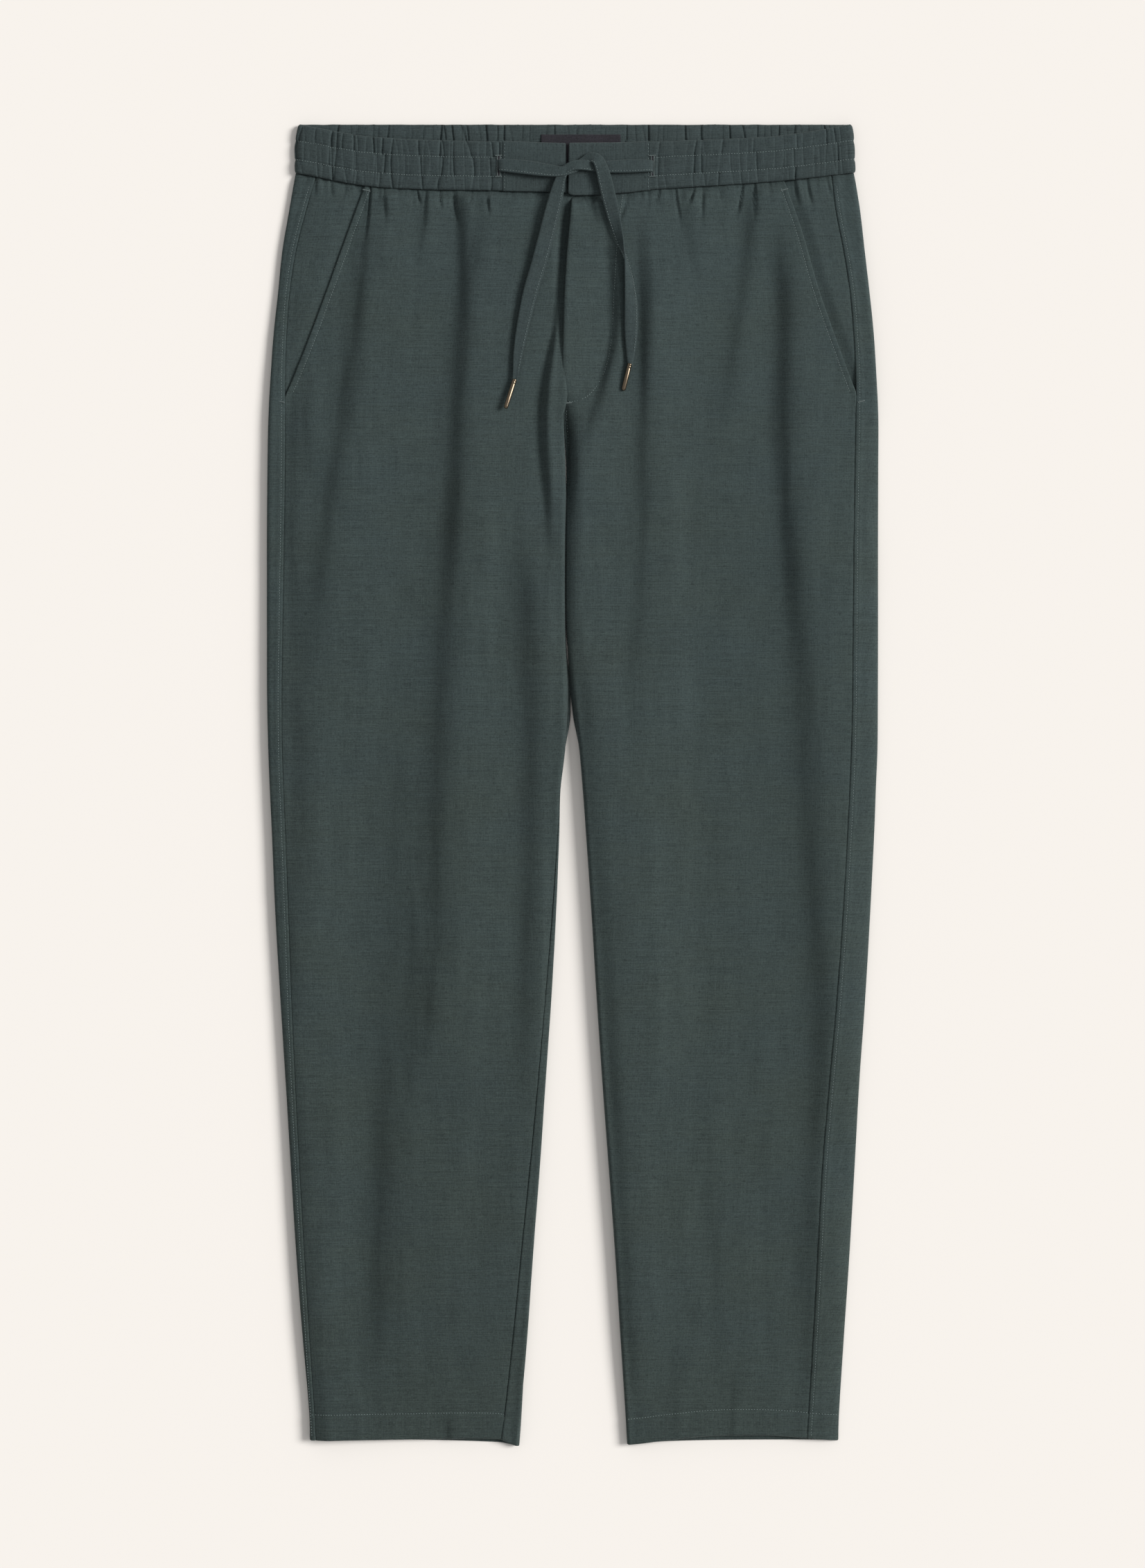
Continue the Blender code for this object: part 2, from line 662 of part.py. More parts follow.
def make_tip(tip, finish):
    """The metal end of a strand: a closed tube, here a plain rod."""
    length = math.hypot(tip.x2 - tip.x1, tip.y2 - tip.y1)
    ends = (front_face(tip.x1, tip.y1), front_face(tip.x2, tip.y2))
    z = max(ends) + TAPE_CLEAR + TIP_RADIUS
    bpy.ops.mesh.primitive_cylinder_add(
        vertices=TIP_SIDES,
        radius=TIP_RADIUS * MM,
        depth=length * MM,
        location=((tip.x1 + tip.x2) / 2 * MM, (tip.y1 + tip.y2) / 2 * MM, z * MM),
        rotation=(0, math.pi / 2, math.atan2(tip.y2 - tip.y1, tip.x2 - tip.x1)),
    )
    made = bpy.context.object
    made.name = tip.name
    made.data.name = tip.name
    made.data.materials.append(finish)
    made.data.shade_smooth()
    made.data.set_sharp_from_angle(angle=math.radians(40))
    for holder in list(made.users_collection):
        holder.objects.unlink(made)
    bpy.data.collections[COLLECTION].objects.link(made)


def main():
    for old in list(bpy.data.objects):
        bpy.data.objects.remove(old)
    bpy.context.scene.collection.children.link(bpy.data.collections.new(COLLECTION))

    cloth = material("linen_cloth", (0.050, 0.066, 0.064), 0.85)
    ribbon = material("label_ribbon", (0.020, 0.020, 0.025), 0.6)
    metal = material("bronze_tip", (0.42, 0.31, 0.18), 0.3, 1.0)

    for half in (Half("left"), Half("right")):
        make_panel(half, "front", front_columns, cloth)
        make_panel(half, "back", back_columns, cloth)
        make_facing(half, cloth)

    make_gathered_band(cloth)
    left_seam, left_end = BAND_SEAM_LEFT + SEAM_GAP / 2, BAND_OPENING - OPENING_GAP
    right_end, right_seam = BAND_OPENING + OPENING_GAP, BAND_SEAM_RIGHT - SEAM_GAP / 2
    make_flat_band("waistband_front_left", left_seam, left_end, 0.0, cloth)
    make_flat_band("waistband_front_right", right_end, right_seam, TAB_RISE, cloth)
    make_label(ribbon)
    make_tape("drawstring_left", STRAND_LEFT, cloth)
    make_tape("drawstring_right", STRAND_RIGHT, cloth)
    for tip in TIPS:
        make_tip(tip, metal)


main()
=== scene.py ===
"""Drawstring trousers laid flat on a pale floor: cloth, seams, stitching, drawstring and metal ends.

Sizes are in millimetres and the finished meshes in metres. +Z is up, the waist points to +Y, and left and
right are as seen from above. Each half of the garment is a flattened tube: a place on it is a level y and a
distance around, from the outer edge's middle over the top to the inner edge, then back along the underside.
"""

import math
from collections import namedtuple

import bpy
import numpy as np
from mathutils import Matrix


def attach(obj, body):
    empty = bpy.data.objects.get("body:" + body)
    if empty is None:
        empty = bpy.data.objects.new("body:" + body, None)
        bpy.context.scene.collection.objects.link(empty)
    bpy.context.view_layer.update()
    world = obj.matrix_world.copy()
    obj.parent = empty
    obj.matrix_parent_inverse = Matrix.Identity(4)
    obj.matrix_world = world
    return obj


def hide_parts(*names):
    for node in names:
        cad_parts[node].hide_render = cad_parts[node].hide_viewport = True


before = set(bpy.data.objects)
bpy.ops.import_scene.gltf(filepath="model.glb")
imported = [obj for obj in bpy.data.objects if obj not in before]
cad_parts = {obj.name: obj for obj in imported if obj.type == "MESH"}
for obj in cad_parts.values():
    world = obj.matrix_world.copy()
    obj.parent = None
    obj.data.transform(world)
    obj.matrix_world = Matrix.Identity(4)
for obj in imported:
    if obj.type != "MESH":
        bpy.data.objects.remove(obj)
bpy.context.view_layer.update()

MM = 0.001

# ---------------------------------------------------------------- sizes

CLOTH = 0.7  # one layer of cloth
HEM_FOLD = 1.7  # the hem's turned-up layers together
HEM_STITCH = 20.2  # the hem's row of stitches above its edge
LAY_BASE = 6.6  # the upper face of the front layer above the floor
LAY_MIDDLE, LAY_RANGE = 7.6, 6.4  # no fold reaches further than this from the middle height
LAY_LIMIT = 4  # how late the limit sets in
EDGE_REACH = 3.6  # how far in from the outline an edge has rolled over flat
EDGE_ARC = 5.2  # the same stretch measured along the cloth
SLUMP_REACH, LIFT_REACH = 9.0, 46.0  # how far in from an edge the cloth lies lower, and higher
LIFT_LEFT, LIFT_RIGHT = 4.4, 4.6
POCKET_SLUMP, POCKET_SLUMP_REACH = 2.6, 20.0
POCKET_FOOT, POCKET_BLEND = 330.0, 60.0
FLY_LIFT_X, FLY_LIFT, FLY_LIFT_REACH = 5.0, 3.0, 55.0  # how much higher the cloth lies round the fly
FLY_LIFT_RANGE = (190.0, 80.0, 480.0, 40.0)  # a range: its foot, the blend there, its top, the blend there
LIFT_RIGHT_RANGE = (-520.0, 120.0, 300.0, 60.0)
LIFT_RIGHT_MORE, LIFT_RIGHT_MORE_RANGE = 0.5, (-300.0, 150.0, 60.0, 60.0)
KNEE_X, KNEE_Y, KNEE_WIDE, KNEE_HIGH, KNEE_MORE = -128, -130, 26, 90, 1.1  # small creases at a knee
EDGE_INSET = 2.0  # how far in from an edge the cloth keeps the edge's own height
RIPPLE, RIPPLE_REACH = 0.6, 22.0  # the fine ripple under the waistband's seam
SEAM_REACH = 8.0  # how far below the waistband's seam the cloth is drawn down to it
CROTCH_Y = 255.0
CROTCH_BLEND = 60.0
# The back layer's bulge into the gap at the crotch is partly painted shade: its dark cloth covers floor that
# lies in shade.
LIP_START, LIP_BLEND = 22.0, 36.0  # from where up the back layer bulges into the gap between the legs
LIP_FADE_START, LIP_FADE, LIP_FADE_SHARE = 75.0, 40.0, 0.65  # it bulges less further up
HIDDEN_INSEAM = 1.5
INSEAM_BLEND = 30.0
LEVEL_TOP, LEVEL_BOTTOM = 495.0, -529.0
LEVEL_BLEND = 140.0
SEAM_GAP = 0.3
FLY_FOOT = 298.0
FLY_FOOT_BLEND = 16.0

BAND_BACK_TOP, BAND_BACK_BOTTOM = 534.0, 494.5
BAND_EDGE_LEFT, BAND_EDGE_RIGHT = -222.6, 227.3
BAND_MIDDLE = (BAND_EDGE_LEFT + BAND_EDGE_RIGHT) / 2
BAND_REACH, BAND_ARC = 4.0, 5.4
BAND_FLARE = 2.8
BAND_SEAM_LEFT, BAND_SEAM_RIGHT = -56.3, 63.0
BAND_OPENING = -3.9
BAND_PARTING = 0.9  # how much further apart the waistband's ends are at its top edge
BAND_FACE = 6.8  # the outer face of the waistband's front above the floor
BAND_SEAM_FACE = 3.4  # the panels' outer face where they are sewn into the waistband
BAND_THICK, BAND_HEIGHT = 3.4, 39.5
BAND_ROUND = 1.9  # how far from the band's edges it has its full thickness
PINCH, PINCH_REACH = 0.5, 1.1  # how far its rows of stitches draw it in, and how far beside them
CHANNEL_LOW, CHANNEL_HIGH = 0.28, 0.665  # the two rows of stitches, as shares of the waistband's height
BAND_STEP = 0.44  # between the gathered band's columns of points
GATHER_PITCH = 5.6
PUFF_RISE = 0.35
FLAT_BAND_THICK, FLAT_BAND_HEIGHT = 1.2, 40
OPENING_REACH = 40  # how far from the opening the flat ends lie level again
CURL, CURL_REACH = 0.9, 6  # how far the left end dips to go under the right one, and over what distance
SEWN_RISE = 0.4  # how high at the opening the ends are for what lies or is sewn on them
# The band's two flat ends: side, from, to and how much higher each lies at the opening.
FLAT_BANDS = (
    ("left", BAND_SEAM_LEFT + 0.2, BAND_OPENING - 0.6, 0.0),
    ("right", BAND_OPENING + 0.9, BAND_SEAM_RIGHT - 0.2, 1.3),
)

STITCH_PITCH, STITCH_LENGTH, STITCH_WIDTH = 2.2, 1.4, 0.5
UPWARDS = (0.0, 0.0, 1.0)
SEAM_TO_STITCH = 2.9  # topstitching beside the side seams
MOUTH_TO_STITCH = 4.8
SEAM_ROW = (484.0, -527.0, -1.2)  # the first and last y of a row's path, and its step
MOUTH_ROW = (482.0, 316.0, -1.0)
BELOW_FLY_ROW = (303.0, 272.0, -1.0)
BAND_FOOT_ROW = (0.0, 14.0, 0.8)  # the same in x
BAND_END_STITCH = 1.6  # the rows up the flat ends from the band's front seams
TACK_PITCH = 0.42
FLY_TACK = (-2.2, 308.6)

BUTTONHOLES = ((-59.4, 499.8), (64.9, 499.8))
BUTTONHOLE_HALF, BUTTONHOLE_SIDE = 7.8, 1.15  # half its length, and its two rows of thread from its middle
# The painted shade in each buttonhole's opening: its half width, its face above the band and its thickness.
SLIT_SIDE, SLIT_FACE, SLIT_THICK = 0.75, 0.28, 0.5

TAPE_THICK, TAPE_WIDE = 1.3, 13
TAPE_RAISE = 0.7
TAPE_RIPPLE, TAPE_CURL = 0.16, 3.6
TAPE_UV_STEP = 1.5
TAPE_STITCH = 0.36  # the tape's row of stitches from its middle, as a share of its width
STRAND_POINTS = 260
TIP_RADIUS, TIP_SIDES = 1.9, 28


def table(columns, *rows):
    """Rows with named columns."""
    row = namedtuple("Row", columns)
    return tuple(row(*values) for values in rows)


# The halves: the side, how far the cloth slumps at the outer and the inner edge, how square each edge's
# roll is, how far the back layer bulges into the gap at the crotch, its dark cloth partly painted shade for
# the floor there, and how far the pocket's facing dips.
HALVES = table(
    "name sign outer_slump inner_slump outer_square inner_square lip dip",
    ("left", -1, 2.0, 2.6, 0.5, 0.45, 4.4, 1.1),
    ("right", 1, 4.8, 0.4, 0.9, 0.7, 3.0, 2.2),
)

# A row for each section across the garment: the x of its edges and seams, and how far past its inner edge
# the left leg's inseam lies.
SECTIONS = table(
    "y left_edge left_seam left_inner right_inner right_seam right_edge inseam",
    (497, -223.3, -205.6, 1.2, 1.2, 209.5, 227.6, 1.5),
    (465, -228.8, -215.1, -0.9, -0.9, 213.1, 232.8, 1.5),
    (432, -234.4, -223.4, -3.9, -3.9, 219.4, 236.6, 1.5),
    (398, -237.9, -228.5, -6.0, -6.0, 224.6, 240.5, 1.5),
    (365, -241.4, -230.9, -7.0, -7.0, 227.4, 243.9, 1.5),
    (330, -243.9, -232.0, -7.6, -7.6, 229.2, 246.1, 1.5),
    (298, -245.6, -232.0, -7.0, -7.0, 229.2, 247.7, 1.5),
    (255, -246.4, -232.2, -5.3, -4.6, 228.5, 247.7, 1.5),
    (200, -246.8, -232.9, -5.8, -4.9, 227.6, 247.5, 1.5),
    (130, -246.8, -234.0, -5.9, -4.6, 226.9, 247.5, 1.3),
    (75, -246.7, -234.7, -4.8, 0.6, 226.4, 247.4, 0.9),
    (30, -245.8, -234.4, -5.6, 5.6, 225.6, 247.1, 0.2),
    (-5, -244.4, -233.3, -9.4, 8.6, 224.2, 245.7, -0.8),
    (-38, -242.8, -231.9, -10.3, 11.0, 222.5, 244.5, -2.2),
    (-105, -240.0, -229.4, -13.0, 15.6, 218.7, 241.1, -4.4),
    (-172, -236.0, -227.0, -16.7, 19.7, 213.9, 237.2, -6.2),
    (-240, -231.7, -224.0, -21.4, 24.3, 207.9, 232.4, -7.4),
    (-307, -227.6, -220.6, -25.9, 29.3, 202.4, 228.7, -9.2),
    (-374, -223.5, -216.9, -31.1, 34.3, 198.7, 224.8, -10.8),
    (-441, -218.4, -212.8, -35.8, 38.6, 195.2, 220.3, -12.6),
    (-508, -212.6, -208.4, -40.7, 43.0, 191.2, 216.0, -15.0),
    (-534, -212.0, -206.9, -42.7, 44.5, 189.6, 215.3, -16.4),
)

BAND_FRONT = table(
    "x top bottom",
    (-224, 533.6, 494.5), (-160, 523.6, 483.2), (-56, 519.7, 479.9), (-6, 518.2, 478.8),
    (1, 518.2, 476.4), (40, 518.8, 478.4), (63, 519.7, 480.8), (165, 524.4, 487.6),
    (227, 533.6, 494.5),
)
HEMS = table(
    "x front back",
    (-212, -529.2, -529.2), (-136, -528.6, -529.2), (-60, -528.3, -531.2), (-43, -534.0, -534.0),
    (44, -532.8, -532.8), (76, -529.2, -530.6), (111, -525.8, -529.6), (158, -525.3, -529.2),
    (201, -528.6, -529.4), (215, -529.8, -529.8),
)
MOUTHS = table(
    "y left right",
    (488, -166.2, 171.4), (447, -181.2, 185.6), (400, -198.1, 199.0), (360, -213.0, 213.0),
    (322, -228.4, 227.2), (306, -236.0, 234.0),
)

# The main creases, through five places at even distances from top to bottom. Each rises towards +X by its
# rise, dips by its pit, and widens or narrows from top to bottom.
CREASE_COLUMNS = "top bottom x1 x2 x3 x4 x5 rise rise_end pit width width_end"
CREASES = {
    "left": table(
        CREASE_COLUMNS,
        (460, 150, -3.2, -10.8, -23.4, -20.6, -19.0, 5.6, 4.0, 2.4, 2.8, 6.0),
        (214, -297, -41.7, -35.9, -34.6, -39.3, -45.3, 6.2, 2.5, 1.1, 18.7, 13.1),
        (540, 145, -97.0, -88.1, -91.8, -95.2, -96.8, 5.2, 6.2, 0.5, 10.3, 16.1),
        (274, -275, -93.1, -103.1, -108.9, -112.9, -125.0, 6.2, 6.1, -0.5, 18.3, 23.9),
        (62, -520, -138.5, -147.8, -153.7, -156.5, -161.1, 3.3, 5.0, 1.2, 16.9, 19.0),
        (540, 61, -160.6, -170.8, -185.3, -202.8, -208.2, 3.0, 6.2, 0.2, 9.3, 20.9),
        (180, -196, -222.0, -216.3, -219.6, -219.2, -220.8, 0.6, 0.2, 1.3, 9.9, 9.5),
        (540, 410, -112.8, -115.2, -117.7, -120.5, -125.4, 1.8, 2.1, -0.5, 4.9, 7.6),
        (540, 387, -72.0, -73.9, -75.8, -79.9, -82.8, 0.1, 0.8, 1.9, 7.9, 7.4),
        (540, 438, -159.5, -156.7, -154.0, -150.8, -149.8, 1.3, 2.1, 0.1, 4.6, 6.3),
        (342, 208, -211.3, -214.5, -213.6, -211.1, -209.0, 2.0, 1.8, 0.4, 8.3, 9.1),
        (-497, -560, -103.9, -101.6, -99.4, -97.2, -95.5, 1.2, 1.2, 0.2, 4.0, 4.0),
        (-470, -560, -178.0, -175.5, -172.2, -170.0, -169.0, 0.1, 0.2, -0.2, 4.0, 4.1),
        (352, -235, -224.1, -227.0, -222.6, -226.0, -224.5, 3.7, 2.8, -0.5, 14.8, 14.8),
        (-128, -560, -112.8, -109.1, -104.4, -100.0, -98.0, 0.2, -0.2, -0.1, 9.0, 8.7),
        (540, 295, -106.9, -96.1, -90.8, -86.5, -92.1, -0.9, 1.4, 0.7, 2.8, 6.6),
        (540, 285, -171.9, -168.9, -171.1, -178.4, -188.8, -1.1, 1.4, 0.5, 2.2, 5.7),
        (-60, -330, -140.0, -141.8, -143.8, -146.9, -150.0, 0.4, -0.2, 0.4, 8.5, 9.5),
        (-30, -300, -119.9, -124.5, -128.1, -129.5, -134.9, 0.5, 1.3, -0.4, 9.2, 10.8),
        (-100, -420, -75.0, -78.1, -81.7, -84.9, -89.9, 0.0, -1.3, -0.4, 10.4, 12.6),
        (-200, -500, -185.1, -185.9, -188.2, -189.9, -190.1, -0.8, -1.0, -0.4, 10.3, 10.6),
        (200, -100, -150.0, -152.0, -156.6, -158.2, -160.0, -0.8, 0.3, 0.3, 9.7, 10.9),
        (350, 60, -60.1, -62.6, -63.4, -65.9, -67.9, -0.2, -1.9, 0.3, 10.2, 11.4),
    ),
    "right": table(
        CREASE_COLUMNS,
        (460, 258, 30.0, 33.2, 32.0, 19.5, 3.0, 3.2, 3.8, 1.4, 3.6, 5.0),
        (540, 440, -6.7, 1.6, 9.9, 18.1, 24.7, 2.6, 3.5, 0.4, 4.5, 5.4),
        (471, 190, 54.7, 60.8, 58.8, 55.7, 56.2, 4.0, 3.3, 0.1, 7.6, 11.1),
        (297, -40, 55.7, 58.2, 52.4, 48.4, 48.0, 2.3, 1.0, 0.0, 9.9, 11.3),
        (540, 235, 157.1, 145.6, 135.3, 123.8, 116.3, 2.8, 3.7, -0.1, 8.4, 13.7),
        (472, 95, 167.5, 169.4, 168.0, 175.0, 178.4, 6.2, 6.2, 1.3, 10.6, 23.0),
        (237, -320, 170.6, 184.8, 192.6, 200.4, 197.5, 6.0, 5.6, -0.5, 24.0, 18.2),
        (-203, -465, 201.2, 195.8, 193.5, 196.1, 191.0, 2.9, 2.0, -0.1, 12.4, 14.9),
        (540, 398, 79.6, 85.0, 90.4, 96.1, 102.7, 0.5, 1.6, 0.2, 6.4, 7.0),
        (-16, -189, 170.4, 171.6, 172.2, 172.9, 172.2, 0.1, 0.0, -0.1, 2.4, 2.3),
        (-100, -464, 109.2, 108.3, 108.6, 115.5, 127.0, 0.1, 0.7, 0.2, 5.9, 8.8),
        (-117, -284, 144.2, 147.1, 148.7, 145.7, 143.6, 0.5, 1.0, -0.2, 8.0, 8.9),
        (-430, -560, 78.4, 80.2, 82.6, 83.1, 83.7, 0.0, 0.9, 0.1, 4.4, 4.3),
        (-425, -560, 133.4, 131.8, 130.6, 129.3, 129.1, -0.5, 1.6, 0.0, 4.9, 4.8),
        (118, -364, 7.4, 13.9, 31.0, 36.2, 37.8, 5.4, 5.3, -0.5, 18.7, 14.0),
        (-308, -560, 180.8, 182.1, 188.7, 189.6, 185.8, 2.0, 2.9, 1.1, 15.8, 17.4),
        (118, -364, 11.0, 15.1, 22.5, 31.9, 36.3, -0.4, 1.8, -0.5, 7.2, 8.6),
        (-278, -560, 40.5, 40.7, 44.5, 48.8, 50.1, 2.0, 1.8, -0.5, 8.7, 9.6),
        (468, 145, 175.4, 171.2, 170.5, 171.6, 175.2, -0.4, 1.0, 0.3, 3.5, 6.0),
        (462, 280, 55.6, 55.7, 58.5, 57.8, 56.8, 1.1, 1.3, -0.3, 3.2, 5.1),
        (462, 305, 26.6, 31.3, 35.2, 30.5, 18.9, 0.1, 0.1, 0.9, 3.4, 3.2),
        (150, -250, 89.8, 92.4, 93.8, 97.0, 99.9, -0.9, -1.6, 0.1, 12.4, 13.7),
        (300, 0, 85.0, 87.8, 91.2, 94.3, 96.1, -1.6, -0.5, 0.1, 11.4, 13.0),
        (0, -300, 65.1, 68.4, 71.4, 75.5, 80.0, -0.9, -1.1, -0.5, 10.8, 12.6),
        (-250, -500, 150.0, 152.0, 154.2, 156.3, 158.0, 0.3, -0.4, 0.4, 9.4, 10.6),
        (-280, -560, 99.9, 103.5, 108.1, 112.2, 116.0, 0.3, -0.7, 0.4, 9.5, 10.6),
        (150, -150, 140.1, 142.2, 145.9, 150.0, 154.0, 0.3, -0.3, 0.4, 9.3, 10.2),
        (-250, -520, 60.0, 62.2, 66.1, 69.9, 74.0, -0.9, -0.8, -0.4, 10.8, 12.0),
    ),
}
CREASE_START, CREASE_FADE = 80.0, 130.0  # how far a long crease takes to come in and to die out
CREASE_REACH, CREASE_SPREAD = 14.0, 2.2  # how far the cloth takes to level out again beside a crease

# Where the halves meet in front and along the legs' inner edges: how high each side's cloth is there, and how
# far in that reaches.
INNER = table(
    "y left left_reach right right_reach",
    (482, 5.0, 20, 8.4, 30), (455, 3.0, 16, 10.6, 32), (420, 3.6, 10, 11.0, 32),
    (393, 4.4, 8, 11.0, 32), (365, 6.6, 9, 10.8, 30), (345, 9.0, 11, 10.4, 26),
    (318, 10.4, 12, 8.4, 18), (303, 10.6, 12, 3.4, 14), (288, 10.6, 12, 0.9, 14),
    (262, 10.4, 12, 0.9, 12), (245, 10.2, 12, 3.4, 11), (225, 10.0, 12, 5.4, 12),
    (200, 9.6, 12, 6.6, 12), (130, 9.0, 12, 7.4, 12), (75, 9.8, 14, 8.8, 16), (30, 10.6, 14, 10.6, 18),
    (-30, 9.6, 14, 11.2, 18), (-80, 7.6, 10, 11.2, 17), (-206, 6.0, 6, 10.8, 16),
    (-430, 6.0, 6, 9.6, 14), (-534, 5.6, 6, 7.0, 10),
)

# The same for the left outer edge, which lies a little higher than the right one.
OUTER_LEFT = table(
    "y height reach",
    (490, 5.0, 12), (410, 5.4, 12), (345, 6.6, 14), (298, 7.4, 16), (186, 7.6, 18), (74, 8.0, 18),
    (-206, 8.0, 14), (-430, 7.8, 16), (-534, 7.0, 14),
)

# The short gathers that run down from the waistband's seam.
GATHERS = table(
    "x length lean depth width",
    (-207, 20, -2, 0.7, 2.4), (-195, 16, 1, 0.6, 2.2), (-183, 12, -1, 0.5, 2.0),
    (-163, 50, -5, 1.1, 1.4), (-152, 36, 2, 0.7, 2.8), (-140, 12, -1, 0.5, 1.8),
    (-125, 14, 3, 1.0, 1.6), (-118, 36, -3, 0.7, 2.6), (-106.5, 18, 1, 1.0, 1.5),
    (-95.5, 34, 5, 0.9, 2.0), (-81, 14, -1, 0.5, 2.0), (-68, 24, 1, 1.0, 1.6), (-48, 10, 1, 0.4, 1.6),
    (9, 14, 10, 0.5, 1.5), (21, 12, -11, 0.7, 1.5), (33, 15, -9, 0.6, 1.7), (45, 26, -8, 0.7, 2.0),
    (57, 12, -1, 0.5, 1.6), (71, 14, -5, 0.9, 1.7), (84, 36, 5, 0.7, 2.4), (99, 20, -8, 1.0, 1.7),
    (106, 36, -2, 0.7, 2.4), (120, 14, -1, 0.7, 1.6), (138, 32, -7, 1.0, 2.0), (148, 34, -1, 0.9, 1.8),
    (160, 18, 1, 0.6, 1.8), (180, 24, 4, 0.7, 2.4), (190, 30, 6, 0.7, 2.4), (206, 24, 6, 0.5, 2.2),
)

# The fly's curved row of stitches, and the row down the seam below it.
FLY_STITCH = table(
    "x y",
    (41.2, 477.5), (39.2, 464.8), (36.4, 437.0), (34.4, 405.0), (32.8, 376.0), (30.8, 353.0),
    (27.4, 337.6), (21.6, 325.2), (14.0, 315.4), (5.4, 310.6), (-5.4, 309.0),
)

# The tacks at the pocket mouths: their level, how far in from the mouth and how long.
POCKET_TACKS = table("y inset length", (480.5, 2.6, 6.5), (309.5, -1.0, 6.0))

# The drawstring's strands: where the tape's middle goes, its width, how far its middle is above the cloth
# and how far it is turned about its own length, in degrees.
TAPEPOINT_COLUMNS = "x y width lift turn"
STRAND_LEFT = table(
    TAPEPOINT_COLUMNS,
    (-60.2, 500.0, 9.6, -1.6, 0), (-56.0, 500.0, 10.4, 1.2, -6), (-36.0, 498.0, 11.8, 2.4, -10),
    (-18.0, 495.4, 9.8, 3.0, -4), (-8.0, 494.8, 7.8, 3.4, 4), (2.0, 497.8, 7.4, 2.0, 0),
    (9.0, 502.4, 7.6, 1.6, -6), (15.0, 505.8, 8.6, 3.0, -16), (20.4, 503.8, 9.6, 4.6, -14),
    (23.8, 497.0, 10.4, 4.6, -4), (26.4, 487.5, 11.4, 3.6, 0), (29.6, 474.0, 11.6, 3.0, 4),
    (33.6, 458.0, 10.8, 2.6, 14), (38.2, 441.0, 8.6, 2.4, 38), (42.8, 427.0, 6.2, 2.4, 92),
    (45.8, 410.0, 8.2, 2.0, 142), (47.6, 388.0, 10.8, 1.6, 166), (47.6, 366.0, 10.6, 1.4, 178),
    (47.2, 349.0, 7.2, 1.2, 180), (46.8, 338.0, 4.0, 1.9, 180),
)
STRAND_RIGHT = table(
    TAPEPOINT_COLUMNS,
    (65.8, 499.6, 9.0, -1.6, 0), (61.5, 499.6, 9.8, 1.2, 4), (46.0, 499.2, 10.8, 1.9, 6),
    (30.0, 498.6, 9.8, 1.8, 4), (21.0, 498.6, 8.6, 1.4, 0), (12.0, 499.6, 8.4, 3.2, 2),
    (2.0, 499.4, 7.8, 4.0, 4), (-5.6, 495.6, 7.4, 3.0, 4), (-9.4, 488.6, 8.2, 2.6, 4),
    (-11.6, 480.0, 10.4, 3.4, 2), (-15.6, 464.0, 12.0, 3.8, -4), (-20.4, 444.6, 12.4, 3.4, -7),
    (-27.0, 420.0, 12.2, 2.8, -8), (-33.6, 397.6, 11.8, 2.2, -8), (-39.4, 372.0, 10.2, 1.8, -6),
    (-43.4, 350.0, 7.8, 1.5, -3), (-45.2, 334.0, 5.2, 1.5, 0), (-46.2, 325.8, 3.8, 1.9, 0),
)
TIPS = table(
    "name x1 y1 x2 y2 raised",
    ("right", 46.6, 340.0, 41.2, 318.2, -0.6), ("left", -46.3, 327.0, -53.8, 303.2, 3.0),
)

LABEL_LEFT, LABEL_RIGHT = -25.0, 39.0
LABEL_BOTTOM, LABEL_TOP = 499.0, 525.5
LABEL_FACE, LABEL_THICK = 4.5, 0.5

# The visible cut of a front panel, a back panel and a pocket's facing, in metres.
CUTS = table("wide long area", (0.245, 1.030, 0.208), (0.275, 1.035, 0.232), (0.062, 0.180, 0.0060))

# The photo's height in pixels, and the size of one of them on the floor.
PHOTO_HIGH = 2262
PIXEL = 0.56
CAMERA_X, CAMERA_Y, CAMERA_HEIGHT = 0.28, 0.56, 3200.0
SENSOR = 36.0
FLOOR_HALF = 60.0  # metres, so that its edge stays below the horizon in low views
FLOOR_Z = -0.1
KEY_STRENGTH, KEY_ELEVATION, KEY_AZIMUTH, KEY_SOFTNESS = 3.346, 36, 13, 24
ROOM_STRENGTH = 0.47

# Painted light: the cloth's tone is a little lighter towards +X and +Y, where the light falls stronger.
PAINTED_LIGHT_ACROSS, PAINTED_LIGHT_ALONG, COOLER_ALONG = 0.35, 0.14, 0.7  # changes of tone over a metre
MOTTLING = 0.4
SPECK_SHARE, SPECK_DARKNESS = 0.62, 3.8  # how few dark slubs there are, and how dark
WEAVE_SCALE = 430.0
BUMP_DEPTH = 0.0001


# ---------------------------------------------------------------- reading tables and drawing curves


def smooth_step(t):
    t = np.clip(t, 0.0, 1.0)
    return t * t * (3 - 2 * t)


def bell(distance, width):
    return np.exp(-((distance / width) ** 2))


def within(y, foot, foot_blend, top, top_blend):
    """1 between two levels, easing in over the blends, and 0 beyond them."""
    return smooth_step((y - foot) / foot_blend) * smooth_step((top - y) / top_blend)


def read(rows, key, column):
    """The column's values where the first column is key, on a smooth curve through the rows."""
    rows = rows if rows[0][0] < rows[-1][0] else rows[::-1]
    keys = np.array([row[0] for row in rows], float)
    values = np.array([getattr(row, column) for row in rows], float)
    slopes = np.empty_like(values)
    slopes[1:-1] = (values[2:] - values[:-2]) / (keys[2:] - keys[:-2])
    slopes[0] = (values[1] - values[0]) / (keys[1] - keys[0])
    slopes[-1] = (values[-1] - values[-2]) / (keys[-1] - keys[-2])
    key = np.clip(key, keys[0], keys[-1])
    i = np.clip(np.searchsorted(keys, key, side="right") - 1, 0, len(keys) - 2)
    step = keys[i + 1] - keys[i]
    t = (key - keys[i]) / step
    return (
        (2 * t**3 - 3 * t**2 + 1) * values[i]
        + (t**3 - 2 * t**2 + t) * step * slopes[i]
        + (3 * t**2 - 2 * t**3) * values[i + 1]
        + (t**3 - t**2) * step * slopes[i + 1]
    )


